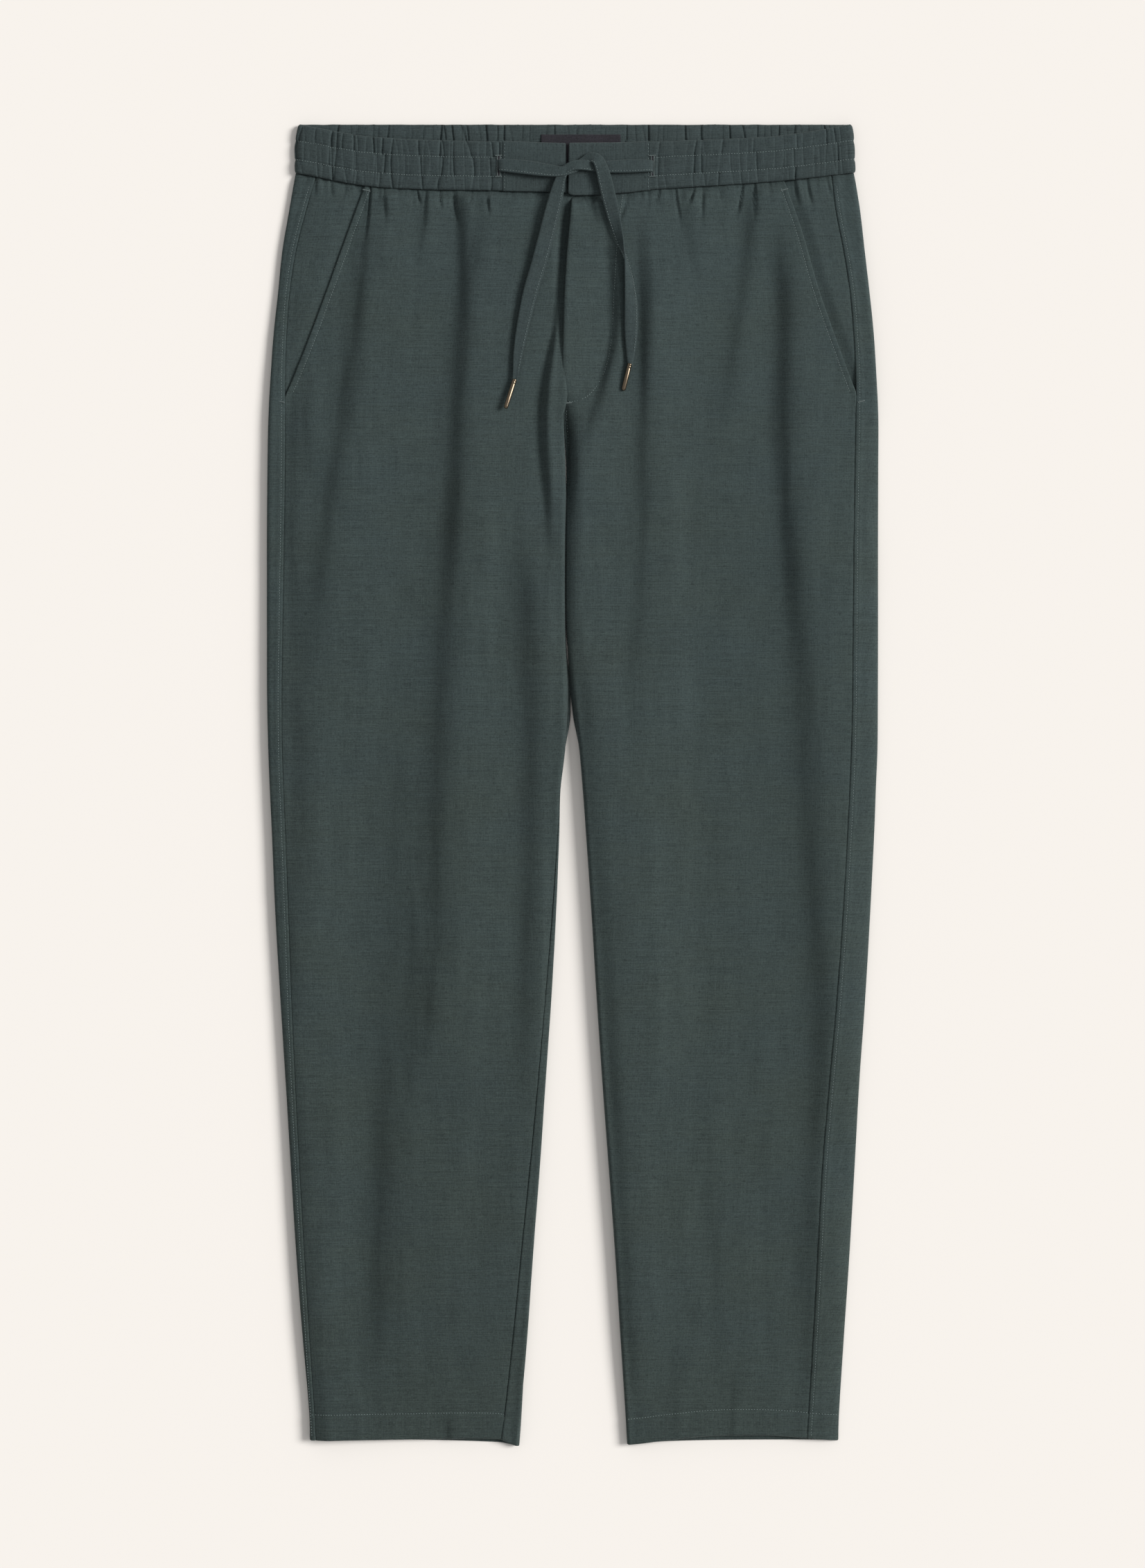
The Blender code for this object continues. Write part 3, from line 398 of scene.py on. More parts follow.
def lengths_along(path):
    """How far along a path of close points each point is."""
    return np.concatenate([[0], np.cumsum(np.linalg.norm(np.diff(path, axis=0), axis=1))])


def through(points, t):
    """A smooth curve through evenly numbered points, t counted in points."""
    points = np.asarray(points, float)
    last = len(points) - 1
    i = np.clip(t.astype(int), 0, last - 1)
    p = [points[np.clip(i + n, 0, last)] for n in (-1, 0, 1, 2)]
    f = t - i
    if points.ndim > 1:
        f = f[:, None]
    return 0.5 * (
        2 * p[1]
        + (p[2] - p[0]) * f
        + (2 * p[0] - 5 * p[1] + 4 * p[2] - p[3]) * f**2
        + (3 * p[1] - p[0] - 3 * p[2] + p[3]) * f**3
    )


def soft_noise(x, y, cell_x, cell_y, seed):
    """Smooth random values from -1 to 1 over cells of this size, the same each run."""
    side = 64
    grid = np.random.default_rng(seed).uniform(-1, 1, (side, side))
    u, v = x / cell_x, y / cell_y
    i, j = np.floor(u).astype(int), np.floor(v).astype(int)
    fu, fv = u - i, v - j
    fu = fu**3 * (fu * (6 * fu - 15) + 10)
    fv = fv**3 * (fv * (6 * fv - 15) + 10)
    a, b = i % side, j % side
    c, d = (i + 1) % side, (j + 1) % side
    low = grid[a, b] * (1 - fu) + grid[c, b] * fu
    high = grid[a, d] * (1 - fu) + grid[c, d] * fu
    return low * (1 - fv) + high * fv


# ---------------------------------------------------------------- the lay of the cloth


def band_y(x, edge):
    return read(BAND_FRONT, x, edge)


def rolled_in(y):
    """0 where front and back are parted at the centre seams, 1 where the inner edges are closed."""
    return smooth_step((CROTCH_Y + CROTCH_BLEND - y) / CROTCH_BLEND)


def crease_height(crease, x, y):
    length = crease.top - crease.bottom
    share = np.clip((crease.top - y) / length, 0, 1)
    start = smooth_step((crease.top - y) / min(length / 2.4, CREASE_START))
    strength = start * smooth_step((y - crease.bottom) / min(length / 2.4, CREASE_FADE))
    places = np.array([crease.x1, crease.x2, crease.x3, crease.x4, crease.x5])
    middle = through(places, (4 * share).ravel()).reshape(share.shape)
    across = (x - middle) / (crease.width + (crease.width_end - crease.width) * share)
    reach = CREASE_REACH + CREASE_SPREAD * (crease.width + (crease.width_end - crease.width) * share)
    rise = np.tanh(1.5 * across) * np.exp(-((np.abs(x - middle) / reach) ** 1.2))
    size = crease.rise + (crease.rise_end - crease.rise) * share
    return strength * (size * rise - crease.pit * bell(across, 0.95))


def gather_height(gather, x, below):
    share = np.clip(below / gather.length, 0, 1)
    middle = gather.x + gather.lean * share**1.5
    width = gather.width * (0.38 + 0.5 * share)
    across = (x - middle) / width
    strength = smooth_step(1.6 * (1 - share)) * smooth_step(0.6 + below / 3)
    swell = 0.7 * np.tanh(1.4 * across) * bell(across, 3.4)
    return gather.depth * strength * (swell - 2.0 * bell(across, 1.0))


def crumple(x, y):
    """The small unevenness of washed linen, more in some places than in others."""
    patches = 0.75 + 0.55 * soft_noise(x, y, 90, 140, 11)
    knee = KNEE_MORE * bell(x - KNEE_X, KNEE_WIDE) * bell(y - KNEE_Y, KNEE_HIGH)
    drift = 3.0 * soft_noise(x, y, 30, 60, 12)
    streaks = soft_noise(x + drift, y, 7.5, 30, 13)
    fine = soft_noise(x + drift, y, 4.0, 13, 14)
    cross = soft_noise(x, y + drift, 26, 8, 15)
    return (patches + knee) * (0.25 * streaks + 0.08 * fine + 0.13 * cross)


def slump(half, x, y):
    """How much lower the cloth lies towards the leg's edges."""
    outer, inner = half.edges(y)
    below_pocket = smooth_step((POCKET_FOOT - y) / POCKET_BLEND)
    below_crotch = smooth_step((CROTCH_Y + 10 - y) / 60)
    from_outer, from_inner = np.abs(x - outer), np.abs(x - inner)
    at_outer = half.own.outer_slump * np.exp(-from_outer / SLUMP_REACH) * below_pocket
    at_inner = half.own.inner_slump * np.exp(-from_inner / SLUMP_REACH) * below_crotch
    if half.name == "left":
        at_pocket = POCKET_SLUMP * np.exp(-from_outer / POCKET_SLUMP_REACH) * (1 - below_pocket)
        return at_outer + at_inner + at_pocket - LIFT_LEFT * bell(from_outer, LIFT_REACH) * below_pocket
    more = LIFT_RIGHT_MORE * within(y, *LIFT_RIGHT_MORE_RANGE)
    lifted = within(y, *LIFT_RIGHT_RANGE) * (1 + more)
    return at_outer + at_inner - LIFT_RIGHT * bell(from_inner, LIFT_REACH) * lifted


def near_edge(half, x, y, height):
    """The height of the cloth, led to what the tables say beside the inner edge and the left outer one."""
    inset = half.sign * (x - read(SECTIONS, y, half.name + "_inner"))
    share = 1 - (inset - EDGE_INSET) / read(INNER, y, half.name + "_reach")
    share = smooth_step(share) if half.name == "left" else np.clip(share, 0, 1) ** 2
    height = height + (read(INNER, y, half.name) - height) * share
    if half.name == "left":
        inset = x - read(SECTIONS, y, "left_edge")
        share = smooth_step(1 - (inset - EDGE_INSET) / read(OUTER_LEFT, y, "reach"))
        height = height + (read(OUTER_LEFT, y, "height") - height) * share
    return height


def lay(half, x, y):
    """The height of the front layer's upper face, away from the edges."""
    wide = 0.55 * soft_noise(x + 20, y, 62, 190, 1) + 0.3 * soft_noise(x, y, 34, 90, 2)
    height = LAY_BASE + wide + crumple(x, y)
    for crease in CREASES[half.name]:
        height = height + crease_height(crease, x, y)
    below = band_y(x, "bottom") - y
    height = height - slump(half, x, y)
    height = height + FLY_LIFT * bell(x - FLY_LIFT_X, FLY_LIFT_REACH) * within(y, *FLY_LIFT_RANGE)
    off = height - LAY_MIDDLE
    height = LAY_MIDDLE + off / (1 + np.abs(off / LAY_RANGE) ** LAY_LIMIT) ** (1 / LAY_LIMIT)
    height = near_edge(half, x, y, height)
    seam = smooth_step(1 - below / SEAM_REACH)
    ripple = RIPPLE * soft_noise(x, y, 3.4, 40, 3) * smooth_step(1 - below / RIPPLE_REACH)
    for gather in GATHERS:
        if (gather.x < 0) == (half.name == "left"):
            ripple = ripple + gather_height(gather, x, below) * (1 - 0.35 * seam)
    return height + ripple + (BAND_SEAM_FACE - height) * seam


class Half:
    """The left or right half of the garment as a flattened tube."""

    def __init__(self, own):
        self.own = own
        self.name, self.sign = own.name, own.sign

    def edges(self, y):
        outer = read(SECTIONS, y, self.name + "_edge")
        seam = read(SECTIONS, y, self.name + "_inner")
        unrolled = EDGE_REACH * (1 - np.cos(math.radians(90) * (1 - rolled_in(y))))
        return outer, seam - self.sign * unrolled

    def around(self, y):
        outer, inner = self.edges(y)
        return np.abs(outer - inner) - 2 * EDGE_REACH + 2 * EDGE_ARC

    def place_of(self, x, y):
        """How far around the tube a point of the upper side is."""
        inset = np.maximum(0.0, self.sign * (self.edges(y)[0] - x))
        rolled = EDGE_ARC * np.arccos(np.clip(1 - inset / EDGE_REACH, -1, 1)) / (math.pi / 2)
        return np.where(inset >= EDGE_REACH, EDGE_ARC + inset - EDGE_REACH, rolled)

    def plan(self, place, y):
        """(x, how far up the edge's roll from 0 under it to 1 on top, on top) of a place."""
        outer, inner = self.edges(y)
        length = self.around(y)
        place = np.mod(place, 2 * length)
        on_top = place <= length
        run = np.where(on_top, place, 2 * length - place)
        near = np.minimum(run, length - run)
        roll = math.radians(90) * np.clip(near / EDGE_ARC, 0, 1)
        inset = EDGE_REACH * (1 - np.cos(roll)) + np.maximum(0.0, near - EDGE_ARC)
        at_outer = run < length / 2
        x = np.where(at_outer, outer - self.sign * inset, inner + self.sign * inset)
        lift = np.sin(roll) ** np.where(at_outer, self.own.outer_square, self.own.inner_square)
        # The back layer's lip is real cloth and partly painted shade: it covers floor that lies in shade
        # between the legs.
        faded = LIP_FADE_SHARE * smooth_step((y - LIP_FADE_START) / LIP_FADE)
        share = smooth_step((y - LIP_START) / LIP_BLEND) * (1 - faded)
        lip = self.own.lip * share * np.sin(2 * roll) * smooth_step((CROTCH_Y + 5 - y) / 30)
        x = np.where(at_outer | on_top, x, x - self.sign * lip)
        return x, np.where(on_top, 1 + lift, 1 - np.sin(roll)) / 2, on_top

    def side_seam(self, y):
        return self.place_of(read(SECTIONS, y, self.name + "_seam"), y)

    def mouth_x(self, y):
        return read(MOUTHS, y, self.name)

    def mouth(self, y):
        """The pocket mouth's place, which below its foot is the side seam."""
        seam = self.side_seam(y)
        return np.where(y < MOUTHS[-1].y, seam, np.maximum(seam, self.place_of(self.mouth_x(y), y)))

    def inner_end(self, y, side):
        """Where a panel ends inside, side -1 for the front and 1 for the back."""
        inseam = read(SECTIONS, y, "inseam") if self.name == "left" else HIDDEN_INSEAM
        parted = side * EDGE_ARC * (1 - rolled_in(y))
        return self.around(y) + parted + inseam * smooth_step((CROTCH_Y - y) / INSEAM_BLEND)


def hem_height(x, y, edge):
    """How far a point is above the hem's edge."""
    return y - read(HEMS, x, edge)


def fly_foot(y):
    return smooth_step((y - FLY_FOOT) / FLY_FOOT_BLEND)


def fly_distance(x, y):
    """The distance to the fly's curved row of stitches."""
    path = through(FLY_STITCH, np.linspace(0, len(FLY_STITCH) - 1, 60))
    gap = np.hypot(x[..., None] - path[:, 0], y[..., None] - path[:, 1])
    return gap.min(axis=-1)


def hem_relief(x, y, edge):
    """The hem's extra layers and the groove that its stitches pull, with puckers along it."""
    above = hem_height(x, y, edge)
    pucker = 0.6 + 0.4 * soft_noise(x, y, 5.5, 60, 21)
    groove = -0.42 * bell(above - HEM_STITCH, 1.3) * pucker
    puff = 0.16 * soft_noise(x, y, 6.0, 40, 22) * bell(above - HEM_STITCH * 0.55, 10)
    return groove + puff + 0.3 * smooth_step((HEM_STITCH - above) / 3)


def front_relief(half, x, y):
    """What seams and edges do to the front panel."""
    seam = half.sign * (read(SECTIONS, y, half.name + "_seam") - x)
    below_mouth = smooth_step((MOUTHS[-1].y - y) / 8)
    relief = -0.22 * bell(seam, 1.3) * below_mouth
    relief = relief + 0.14 * soft_noise(x, y, 20, 9, 23) * bell(seam - 3, 7) * below_mouth
    mouth = half.sign * (half.mouth_x(y) - x)
    at_mouth = 1 - below_mouth
    pull = 0.7 + 0.3 * soft_noise(x, y, 60, 6, 24)
    edge = 0.55 * smooth_step(1 - mouth / 9) - 0.36 * bell(mouth - MOUTH_TO_STITCH, 1.0) * pull
    relief = relief + at_mouth * edge
    centre = half.sign * (x - read(SECTIONS, y, half.name + "_inner"))
    if half.name == "right":
        away = fly_distance(x, y)
        pucker = 0.65 + 0.35 * soft_noise(x, y, 9, 7, 25)
        edge = 0.5 * bell(centre, 1.6) * fly_foot(y)
        relief = relief - 0.5 * bell(away, 1.3) * pucker * (away < 6) - edge
    else:
        inseam = half.around(y) + read(SECTIONS, y, "inseam") - half.place_of(x, y)
        relief = relief - 0.35 * bell(inseam, 1.0) * smooth_step(-y / 40)
    return relief + hem_relief(x, y, "front")


def back_relief(half, x, y):
    """The seam allowance under the back panel's visible strip, with its groove of stitches."""
    seam = half.sign * (x - read(SECTIONS, y, half.name + "_seam"))
    allowance = 0.55 * smooth_step((7.0 - seam) / 3)
    groove = -0.22 * bell(seam - SEAM_TO_STITCH, 0.9) - 0.3 * bell(seam, 0.8)
    pucker = 0.1 * soft_noise(x, y, 30, 6.5, 26)
    return allowance + groove + pucker + hem_relief(x, y, "back")


def facing_relief(half, x, y):
    """The pocket's facing dips in under the mouth."""
    mouth = half.sign * (x - half.mouth_x(y))
    seam = half.sign * (read(SECTIONS, y, half.name + "_seam") - x)
    return -half.own.dip * smooth_step(1 - mouth / 11) - 0.3 * bell(seam, 1.2)


RELIEFS = {"front": front_relief, "back": back_relief, "facing": facing_relief}


def cloth_z(half, kind, place, y):
    """(x, z, on top) of the outer face of a panel."""
    x, up, on_top = half.plan(place, y)
    relief = RELIEFS[kind](half, x, y) * smooth_step(2 * up - 1)
    return x, lay(half, x, y) * up + relief, on_top


def level_y(t, x, on_top):
    """The y of a share t of the way from the waistband to the hem."""
    straight = LEVEL_TOP + (LEVEL_BOTTOM - LEVEL_TOP) * t
    top = np.where(on_top, band_y(x, "bottom"), BAND_BACK_BOTTOM)
    hem = np.where(on_top, read(HEMS, x, "front"), read(HEMS, x, "back"))
    at_top = smooth_step(1 - (LEVEL_TOP - straight) / LEVEL_BLEND)
    at_hem = smooth_step(1 - (straight - LEVEL_BOTTOM) / LEVEL_BLEND)
    return straight + (top - LEVEL_TOP) * at_top + (hem - LEVEL_BOTTOM) * at_hem


# ---------------------------------------------------------------- meshes


def grid_quads(rows, across, first=0, flip=False):
    corner = first + (np.arange(rows - 1)[:, None] * across + np.arange(across - 1)).ravel()
    quads = np.stack([corner, corner + across, corner + across + 1, corner + 1], axis=1)
    return quads[:, ::-1] if flip else quads


def link_mesh(name, points, quads, finish, uv=None, triangles=None):
    """A smooth mesh from points in millimetres, with the cloth's own lengths as its UV."""
    points = np.asarray(points, float).reshape(-1, 3) * MM
    faces = np.asarray(quads, int)
    mesh = bpy.data.meshes.new(name)
    mesh.vertices.add(len(points))
    mesh.vertices.foreach_set("co", points.astype(np.float32).ravel())
    corners = faces.ravel()
    starts = np.arange(len(faces)) * 4
    if triangles is not None and len(triangles):
        triangles = np.asarray(triangles, int)
        starts = np.concatenate([starts, len(corners) + np.arange(len(triangles)) * 3])
        corners = np.concatenate([corners, triangles.ravel()])
    mesh.loops.add(len(corners))
    mesh.loops.foreach_set("vertex_index", corners.astype(np.int32))
    mesh.polygons.add(len(starts))
    mesh.polygons.foreach_set("loop_start", starts.astype(np.int32))
    mesh.update(calc_edges=True)
    if uv is not None:
        layer = mesh.uv_layers.new(name="cloth")
        flat = (np.asarray(uv, float).reshape(-1, 2) * MM)[corners]
        layer.data.foreach_set("uv", flat.astype(np.float32).ravel())
    mesh.materials.append(finish)
    mesh.shade_smooth()
    mesh.validate()
    made = bpy.data.objects.new(name, mesh)
    bpy.context.scene.collection.objects.link(made)
    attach(made, "root")
    return made


def link_tube(name, grid, finish, uv, flip):
    """A closed tube through rings of points. flip turns the faces over."""
    rows, ring = grid.shape[:2]
    number = np.arange(rows * ring).reshape(rows, ring)
    beside = np.roll(number, -1, axis=1)
    quads = np.stack([number[:-1], number[1:], beside[1:], beside[:-1]], axis=2).reshape(-1, 4)
    quads = quads[:, [0, 3, 2, 1]] if flip else quads
    return link_mesh(name, grid, quads, finish, uv, fans(number[0], flip) + fans(number[-1], not flip))


def normals_of(grid):
    down = np.gradient(grid, axis=0)
    along = np.gradient(grid, axis=1)
    out = np.cross(along, down)
    return out / np.maximum(1e-9, np.linalg.norm(out, axis=2, keepdims=True))


def rim_of(rows, across):
    down = np.arange(rows) * across
    along = (rows - 1) * across + np.arange(1, across)
    up = np.arange(rows - 2, -1, -1) * across + across - 1
    back = np.arange(across - 2, 0, -1)
    return np.concatenate([down, along, up, back])


def link_shell(name, grid, thickness, finish, uv, flip):
    """A closed shell whose outer face is the grid, with its rim rounded. flip turns the faces over."""
    rows, across = grid.shape[:2]
    out = normals_of(grid) * (1 if flip else -1)
    thick = np.broadcast_to(np.asarray(thickness, float), (rows, across))[..., None]
    inner = grid - out * thick
    border = rim_of(rows, across)
    outer_flat, inner_flat = grid.reshape(-1, 3), inner.reshape(-1, 3)
    outward = np.zeros_like(grid)
    outward[0] += grid[0] - grid[1]
    outward[-1] += grid[-1] - grid[-2]
    outward[:, 0] += grid[:, 0] - grid[:, 1]
    outward[:, -1] += grid[:, -1] - grid[:, -2]
    outward = outward.reshape(-1, 3)[border]
    outward /= np.maximum(1e-9, np.linalg.norm(outward, axis=1, keepdims=True))
    push = 0.42 * thick.reshape(-1, 1)[border]
    middle = (outer_flat[border] + inner_flat[border]) / 2 + outward * push
    count = rows * across
    points = np.concatenate([outer_flat, inner_flat, middle])
    faces = [grid_quads(rows, across, 0, flip), grid_quads(rows, across, count, not flip)]
    ring = np.arange(len(border))
    following = np.roll(ring, -1)
    near = np.stack([border[following], border[ring], 2 * count + ring, 2 * count + following], axis=1)
    far = np.stack(
        [2 * count + following, 2 * count + ring, count + border[ring], count + border[following]], axis=1
    )
    faces += [near[:, ::-1] if flip else near, far[:, ::-1] if flip else far]
    flat_uv = np.asarray(uv, float).reshape(-1, 2)
    uvs = np.concatenate([flat_uv, flat_uv, flat_uv[border]])
    return link_mesh(name, points, np.concatenate(faces), finish, uvs)


def steps(*stretches):
    """Distances from (start, end, step) stretches that follow one another."""
    places = []
    for start, end, step in stretches:
        count = max(1, round(abs(end - start) / step))
        places.append(np.linspace(start, end, count, endpoint=False))
    return np.concatenate([*places, [stretches[-1][1]]])


COLUMN_FINE, COLUMN_WIDE = 0.95, 2.5  # how far apart a front panel's columns are at the gathers and between


def panel_rows():
    height = LEVEL_TOP - LEVEL_BOTTOM
    return steps((0, 28, 1.2), (28, 90, 2.8), (90, height - 30, 4.6), (height - 30, height, 1.0)) / height


def settle(half, start, end, weight, offset, shares):
    """(place, y) of each row and column: a column is a weight between the panel's sides and an offset."""
    t = shares[:, None]
    y = LEVEL_TOP + (LEVEL_BOTTOM - LEVEL_TOP) * t + 0 * weight
    for _ in range(4):
        place = start(y) * (1 - weight) + end(y) * weight + offset
        x, _, on_top = half.plan(place, y)
        y = level_y(t, x, on_top)
    return start(y) * (1 - weight) + end(y) * weight + offset, y


def panel_columns(near_start, start_step, near_end, end_step, share):
    """Weights and offsets: fine columns beside both sides of a panel and shares of the way between."""
    first = steps((0, near_start, start_step))[:-1]
    last = -steps((0, near_end, end_step))[::-1][1:]
    weight = np.concatenate([np.zeros(len(first)), share, np.ones(len(last))])
    offset = np.concatenate([first, near_start + (-near_end - near_start) * share, last])
    return weight[None, :], offset[None, :]


def link_panel(name, half, kind, start, end, columns, shares, finish):
    weight, offset = columns
    place, y = settle(half, start, end, weight, offset, shares)
    x, z, on_top = cloth_z(half, kind, place, y)
    grid = np.stack([x, y, z], axis=2)
    above = hem_height(x, y, "front" if kind == "front" else "back")
    thickness = CLOTH + (HEM_FOLD - CLOTH) * smooth_step((HEM_STITCH + 2 - above) / 2)
    return link_shell(name, grid, thickness, finish, np.stack([place, y], axis=2), half.name == "right")


def gathered_shares(half, start, end):
    """Shares of the way across a front panel, closest where the short gathers are."""
    top = np.full(2000, LEVEL_TOP - 12.0)
    share = np.linspace(0, 1, 2000)
    x, _, _ = half.plan(start(top) * (1 - share) + end(top) * share, top)
    density = np.full(2000, 1 / COLUMN_WIDE)
    for gather in GATHERS:
        density = density + (1 / COLUMN_FINE) * bell(x - gather.x, 2.6)
    density = np.minimum(density, 1 / COLUMN_FINE)
    total = np.concatenate([[0], np.cumsum((density[1:] + density[:-1]) / 2 * np.abs(np.diff(x)))])
    return np.interp(np.linspace(0, total[-1], round(total[-1])), total, share)


def make_front(half, finish):
    def start(y):
        return np.maximum(half.side_seam(y), half.mouth(y)) + SEAM_GAP / 2

    def end(y):
        tuck = EDGE_ARC * 0.9 * fly_foot(y) if half.name == "left" else 0.0
        return half.inner_end(y, -1) - SEAM_GAP / 2 + tuck

    near_end, end_step = (27.0, 1.3) if half.name == "left" else (11.0, 0.9)
    columns = panel_columns(12.0, 0.9, near_end, end_step, gathered_shares(half, start, end))
    return link_panel(f"cloth_front_{half.name}", half, "front", start, end, columns, panel_rows(), finish)


def make_back(half, finish):
    def start(y):
        return half.inner_end(y, 1) + SEAM_GAP / 2

    def end(y):
        return 2 * half.around(y) + half.side_seam(y) - SEAM_GAP / 2

    columns = panel_columns(12.0, 1.2, 34.0, 1.0, np.linspace(0, 1, 40))
    return link_panel(f"cloth_back_{half.name}", half, "back", start, end, columns, panel_rows(), finish)


def make_facing(half, finish):
    def start(y):
        return half.side_seam(y) + SEAM_GAP / 2

    def end(y):
        return half.mouth(y) + 7.0

    height = LEVEL_TOP - LEVEL_BOTTOM
    shares = steps((0, 200, 1.8)) / height
    share = np.linspace(0, 1, 46)[None, :]
    place, y = settle(half, start, end, share, 0 * share, shares)
    x, z, _ = cloth_z(half, "facing", place, y)
    grid = np.stack([x, y, z], axis=2)
    uv = np.stack([place + 31.0, y * 0.98 + 17.0], axis=2)
    return link_shell(f"pocket_facing_cloth_{half.name}", grid, CLOTH, finish, uv, half.name == "right")


# ---------------------------------------------------------------- waistband


def band_along():
    """The gathered band from its left front seam round the back to the right one: (s, x, roll)."""
    front_left = BAND_SEAM_LEFT - (BAND_EDGE_LEFT + BAND_REACH)
    back = BAND_EDGE_RIGHT - BAND_EDGE_LEFT - 2 * BAND_REACH
    front_right = BAND_EDGE_RIGHT - BAND_REACH - BAND_SEAM_RIGHT
    ends = np.cumsum([front_left, 2 * BAND_ARC, back, 2 * BAND_ARC, front_right])
    s = np.linspace(0, ends[-1], round(ends[-1] / BAND_STEP) + 1)
    left_roll = 90 - 90 * (s - ends[0]) / BAND_ARC
    right_roll = -90 + 90 * (s - ends[2]) / BAND_ARC
    before = [s < end for end in ends[:4]]
    roll = np.select(before, [90, left_roll, -90, right_roll], 90)
    turn = BAND_REACH * (1 - np.cos(np.radians(roll)))
    along_back = BAND_EDGE_LEFT + BAND_REACH + s - ends[1]
    x = np.select(
        before,
        [BAND_SEAM_LEFT - s, BAND_EDGE_LEFT + turn, along_back, BAND_EDGE_RIGHT - turn],
        BAND_EDGE_RIGHT - BAND_REACH - (s - ends[3]),
    )
    return s, x, roll


def gathers(s, share, seed):
    """The relief of gathered cloth: thin creases at uneven distances between low soft puffs."""
    random = np.random.default_rng(seed)
    zone = np.select([share < CHANNEL_LOW, share < CHANNEL_HIGH], [0, 1], 2)
    in_zone = np.select(
        [zone == 0, zone == 1],
        [share / CHANNEL_LOW, (share - CHANNEL_LOW) / (CHANNEL_HIGH - CHANNEL_LOW)],
        (share - CHANNEL_HIGH) / (1 - CHANNEL_HIGH),
    )
    puffs = PUFF_RISE * np.sin(math.pi * np.clip(in_zone, 0, 1))
    relief = puffs + 0.28 * soft_noise(s, share, 8, 0.3, seed + 1)
    at = 2.0
    while at < s.max():
        lean, bend = random.normal(0, 2.2), random.normal(0, 1.8)
        depths = random.uniform(0.06, 0.50, 3) + (random.random() < 0.34) * random.uniform(0.1, 1.3, 3)
        shifts, width = random.normal(0, 0.8, 3), random.uniform(0.34, 0.62)
        middle = at + lean * (share - 0.5) + bend * (share - 0.5) ** 2 * 4 + shifts[zone]
        away = s - middle
        fold = np.exp(-np.abs(away) / width) + 0.3 * np.exp(-np.abs(away) / (4.5 * width))
        step = 0.45 * np.tanh(away / width) * np.exp(-np.abs(away) / 3.0)
        relief = relief - depths[zone] * (fold - step)
        at += GATHER_PITCH * random.uniform(0.4, 1.6)
    return relief


def channel_pinch(share):
    """How far each level of the band is drawn in by its two rows of stitches."""
    below, above = (share - CHANNEL_LOW) * BAND_HEIGHT, (share - CHANNEL_HIGH) * BAND_HEIGHT
    return PINCH * (bell(below, PINCH_REACH) + bell(above, PINCH_REACH))


def band_face(s, x, roll, share, side, from_seam):
    """A point of the gathered band: side 1 is its outer face and -1 its inner one."""
    up = (1 + np.sin(np.radians(roll))) / 2
    on_top = up > 0.5
    bottom = np.where(on_top, band_y(x, "bottom"), BAND_BACK_BOTTOM)
    top = np.where(on_top, band_y(x, "top"), BAND_BACK_TOP)
    edge = np.minimum(share, 1 - share) * (top - bottom)
    round_off = np.sqrt(np.clip(1 - (1 - np.clip(edge / BAND_ROUND, 0, 1)) ** 2, 0, 1))
    swell = gathers(s, share, 31 if side > 0 else 51) * (0.25 + 0.75 * smooth_step(from_seam / 5))
    out = (BAND_THICK / 2 - channel_pinch(share)) * round_off + swell * (0.5 + 0.5 * round_off)
    middle = BAND_THICK / 2 + (BAND_FACE - BAND_THICK) * up
    nx = np.where(x < BAND_MIDDLE, -1, 1) * np.cos(np.radians(roll))
    nz = np.sin(np.radians(roll))
    aside = (x - BAND_MIDDLE) / (BAND_EDGE_RIGHT - BAND_MIDDLE)
    lean = -BAND_FLARE * share**3 * aside**7
    wave = 0.15 * soft_noise(s, 0.0 * s, 9, 1, 37) * smooth_step((share - 0.9) / 0.1)
    z = np.maximum(0.02, middle + side * out * nz)
    return np.stack([x + lean + side * out * nx, bottom + (top - bottom) * share + wave, z], axis=-1)


# The rows of points up the waistband's height, closest at its edges and beside the rows of stitches.
BAND_ROWS = (
    0, 0.15, 0.5, 1.1, 2.2, 4.2, 6.6, 9.0, 10.6, 11.5, 12.25, 13.0, 13.9, 15.8, 18.2, 20.6, 23.0,
    25.4, 26.8, 27.7, 28.45, 29.2, 30.1, 31.8, 34.0, 36.2, 37.6, 38.5, 39.05, 39.35, 39.5,
)


def make_gathered_band(finish):
    s, x, roll = band_along()
    from_seam = np.minimum(s, s[-1] - s)
    shares = np.array(BAND_ROWS) / BAND_HEIGHT
    faces = []
    for side, order in ((1, shares), (-1, shares[::-1][1:-1:2])):
        for share in order:
            faces.append(band_face(s, x, roll, np.full_like(s, share), side, from_seam))
    grid = np.stack(faces + [faces[0]], axis=0)
    rows, across = grid.shape[:2]
    uv = np.stack(np.broadcast_arrays(s[None, :], lengths_along(grid[:, 0])[:, None]), axis=2)
    points, joined = weld(grid.reshape(-1, 3), (rows - 1) * across)
    quads = joined[grid_quads(rows, across)]
    uv = uv.reshape(-1, 2)[: len(points)]
    first_end = np.arange(rows - 1) * across
    caps = fans(first_end, False) + fans(first_end + across - 1, True)
    return link_mesh("waistband_cloth_gathered", points, quads, finish, uv, caps)


def weld(points, keep):
    """Points whose last row repeats the first one: the points kept, and where each number goes."""
    numbers = np.arange(len(points))
    numbers[keep:] -= keep
    return points[:keep], numbers


def fans(ring, flip):
    """Triangles that close an end between the two sides of its loop."""
    made = []
    low, high = 0, len(ring) - 1
    while high - low > 1:
        made.append((ring[low], ring[low + 1], ring[high]))
        if high - low > 2:
            made.append((ring[low + 1], ring[high - 1], ring[high]))
        low, high = low + 1, high - 1
    return [t[::-1] if flip else t for t in made]


